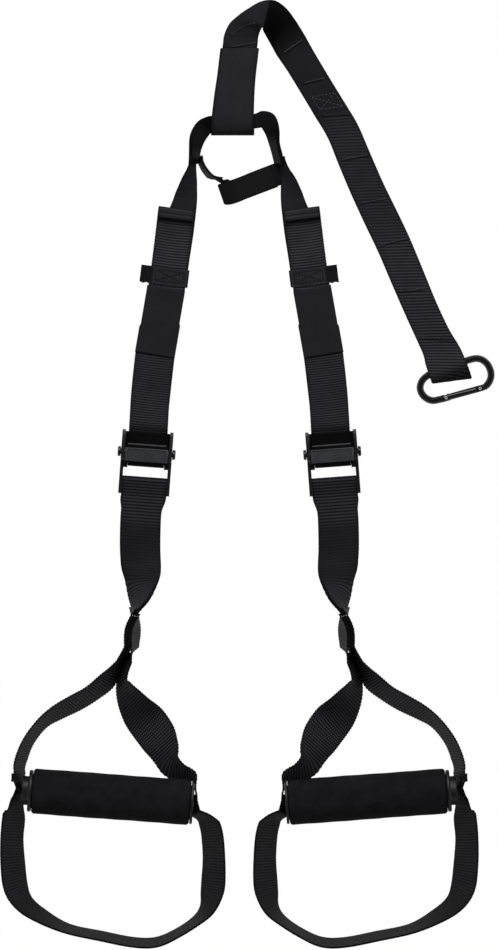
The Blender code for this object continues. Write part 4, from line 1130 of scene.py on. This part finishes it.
handleLook = {
    "slot": "webbing",
    "pitch": 0.0027,
    "ribs": ((0, 0.7), (0.1, 1.0), (0.4, 1.0), (0.5, 0.5), (0.6, 0.9), (1, 0.7)),
    "weft": ((0, 0.0), (0.64, 0.0), (0.66, 0.4), (0.8, 0.45), (0.84, 0.1), (0.87, 0.0), (1, 0.0)),
    "shade": handleShade,
    "skew": ((0, -8.0), (0.4, -8.0), (0.6, -12.0), (1, -12.0)),
    "depth": 0.00045,
    "scallop": 0.0006,
    "widen": ((0, 1), (0.655, 1), (0.675, 0.66), (0.705, 0.7), (0.75, 1), (1, 1)),
    "holds": ((0.188, 0.206), (0.430, 0.402), (0.5206, 0.541)),
    "nudge": handleNudge,
}


def cradleShade(u, v):
    # the part under the foot is pressed smooth, and painted shade darkens it as if it faced away
    # from the light
    return 0.72 - 0.36 * eased(v, 890, 915)


cradleLook = {
    "slot": "webbing",
    "pitch": 0.0026,
    "ribs": lambda u, v: 0.55 - 0.5 * eased(v, 885, 905),
    "shade": cradleShade,
    "depth": 0.0003,
    "widen": (
        *((0, 0.25), (0.03, 0.5), (0.05, 0.75), (0.075, 1)),
        *((0.925, 1), (0.95, 0.75), (0.97, 0.5), (1, 0.25)),
    ),
    "holds": ((0.0241, 0.0), (-0.0262, 0.42)),
}
foamShape = {"round": 0.0030, "shy": 0.0002, "wobble": 0.0002, "rows": 40}


print("handles")
for side in sides:
    handle, grip, cradle = side + "_handle", side + "_grip", side + "_cradle"
    hand = -1 if side == "left" else 1
    outward = Vector((hand, 0, 0))
    spin = joints[side + "_grip_spin"]
    origin, axis = Vector(spin["pos_m"]), Vector(spin["axis"]).normalized()
    addStrap(side + "_lower_webbing", side + "_lower_strap", handle, lowerLook, hand=hand)
    look = {**handleLook, "leanTo": (photo["mirror"] + hand * 90, 815)}
    addStrap(side + "_handle_webbing", side + "_handle_strap", handle, look, outward, hand=hand)
    look = {**cradleLook, "leanTo": pixel(origin)}
    addStrap(side + "_cradle_webbing", side + "_foot_cradle", cradle, look, outward, hand=hand)
    nodeName = side + "_grip_foam"
    low, high, inner, outer = turnedExtent(nodeName, origin, axis)
    outer -= foamShape["shy"]
    profile = roundedTube(low, high, inner, outer, foamShape["round"], foamShape["rows"])
    finish = ("closedCellFoam", grip, "foam", (nodeName,))
    foam = addTurned(side + "_foam", profile, origin, axis, *finish, foamShape["wobble"])
    for node in ("outer_end_ring", "inner_end_ring"):
        low, high, inner, outer = turnedExtent(side + "_" + node, origin, axis)
        profile = roundedTube(low, high, inner, outer, (high - low) * 0.4, 2)
        name = side + "_" + node
        addTurned(name + "_moulded", profile, origin, axis, "mouldedNylon", grip, "tube", (name,))
    addRolled(side + "_grip_tube", grip, "mouldedNylon", rolledEdge["tube"])


# Snap hook
print("hook")
for node, body in (
    ("carabiner_body", "hook"),
    ("carabiner_hinge_pin", "hook"),
    ("carabiner_gate", "gate"),
    ("carabiner_latch_pin", "gate"),
):
    pin = node.endswith("pin")
    finish, slotName = ("powderCoatedSteel", "steel") if pin else ("enamelledAlloy", "hook")
    addRolled(node, body, finish, rolledEdge["pin"])


# Floor, lamps, backdrop and camera
studio = {
    "floor": "#ffffff",
    "floorDrop": 0.36,  # below the lowest reach of the handles, which swing down as well as up
    "floorReach": 6.0,
    "floorGlow": 0.97,  # share of the floor that the camera sees as white, the rest takes shadows
    "fill": 0.55,
    "ceiling": 0.12,
    "keyPower": 34.0,
    "keySize": (1.7, 1.1),
    "keyFrom": (0.0, 1.5, 1.75),
    "lens": 600.0,
    "framed": 0.874,
}


def addFloor():
    mesh = bpy.data.meshes.new("floor")
    reach = studio["floorReach"]
    corners = [(-reach, -reach, 0), (reach, -reach, 0), (reach, reach, 0), (-reach, reach, 0)]
    mesh.from_pydata(corners, [], [(0, 1, 2, 3)])
    floor = addObject("floor", mesh)
    floor.location.z = -studio["floorDrop"]
    material = bpy.data.materials.new("paintedFloor")
    tree = emptyTree(material)
    paint = linear(studio["floor"])
    matt = addNode(tree, "ShaderNodeBsdfDiffuse", {"Color": paint})
    glow = addNode(tree, "ShaderNodeEmission", {"Color": paint, "Strength": 1.0})
    seen = addNode(tree, "ShaderNodeLightPath")
    share = {"operation": "MULTIPLY", 1: studio["floorGlow"]}
    share = addNode(tree, "ShaderNodeMath", share, {0: seen})
    both = addNode(tree, "ShaderNodeMixShader", links={0: share, 1: matt, 2: glow})
    addNode(tree, "ShaderNodeOutputMaterial", links={"Surface": both})
    mesh.materials.append(material)


def addWorld():
    world = bpy.data.worlds.new("studio")
    tree = emptyTree(world)
    camera, glossy, clear = (addNode(tree, "ShaderNodeLightPath", out=k) for k in (0, 3, 6))
    way = addNode(tree, "ShaderNodeTexCoord")
    rise = addNode(tree, "ShaderNodeSeparateXYZ", links={0: way}, out=2)
    low = {1: 0.5, 2: 0.1, 3: studio["ceiling"], 4: 1.0}
    backdrop = addNode(tree, "ShaderNodeMapRange", low, {"Value": rise})
    reflected = addNode(tree, "ShaderNodeMath", {"operation": "MAXIMUM"}, {0: glossy, 1: clear})
    fill = {"data_type": "FLOAT", 2: studio["fill"]}
    strength = addNode(tree, "ShaderNodeMix", fill, {0: reflected, 3: backdrop})
    white = {"data_type": "FLOAT", 3: 1.0}
    strength = addNode(tree, "ShaderNodeMix", white, {0: camera, 2: strength})
    plain = {"Color": (1, 1, 1, 1)}
    light = addNode(tree, "ShaderNodeBackground", plain, {"Strength": strength})
    addNode(tree, "ShaderNodeOutputWorld", links={"Surface": light})
    bpy.context.scene.world = world


def addLamp():
    lamp = bpy.data.lights.new("overheadSoftbox", "AREA")
    lamp.shape, lamp.energy = "RECTANGLE", studio["keyPower"]
    lamp.size, lamp.size_y = studio["keySize"]
    holder = addObject("overheadSoftbox", lamp)
    holder.location = studio["keyFrom"]
    holder.rotation_euler = (-Vector(studio["keyFrom"])).to_track_quat("-Z", "Y").to_euler()


def addCamera():
    camera = bpy.data.cameras.new("camera")
    camera.lens, camera.sensor_width, camera.clip_end = studio["lens"], 36.0, 60.0
    holder = addObject("camera", camera)
    middle = place(photo["size"][0] / 2, photo["size"][1] / 2)
    holder.location = (middle.x, middle.y, studio["framed"] * studio["lens"] / 36.0)
    bpy.context.scene.camera = holder


print("studio")
addFloor()
addWorld()
addLamp()
addCamera()
bpy.context.scene.view_settings.view_transform = "Standard"
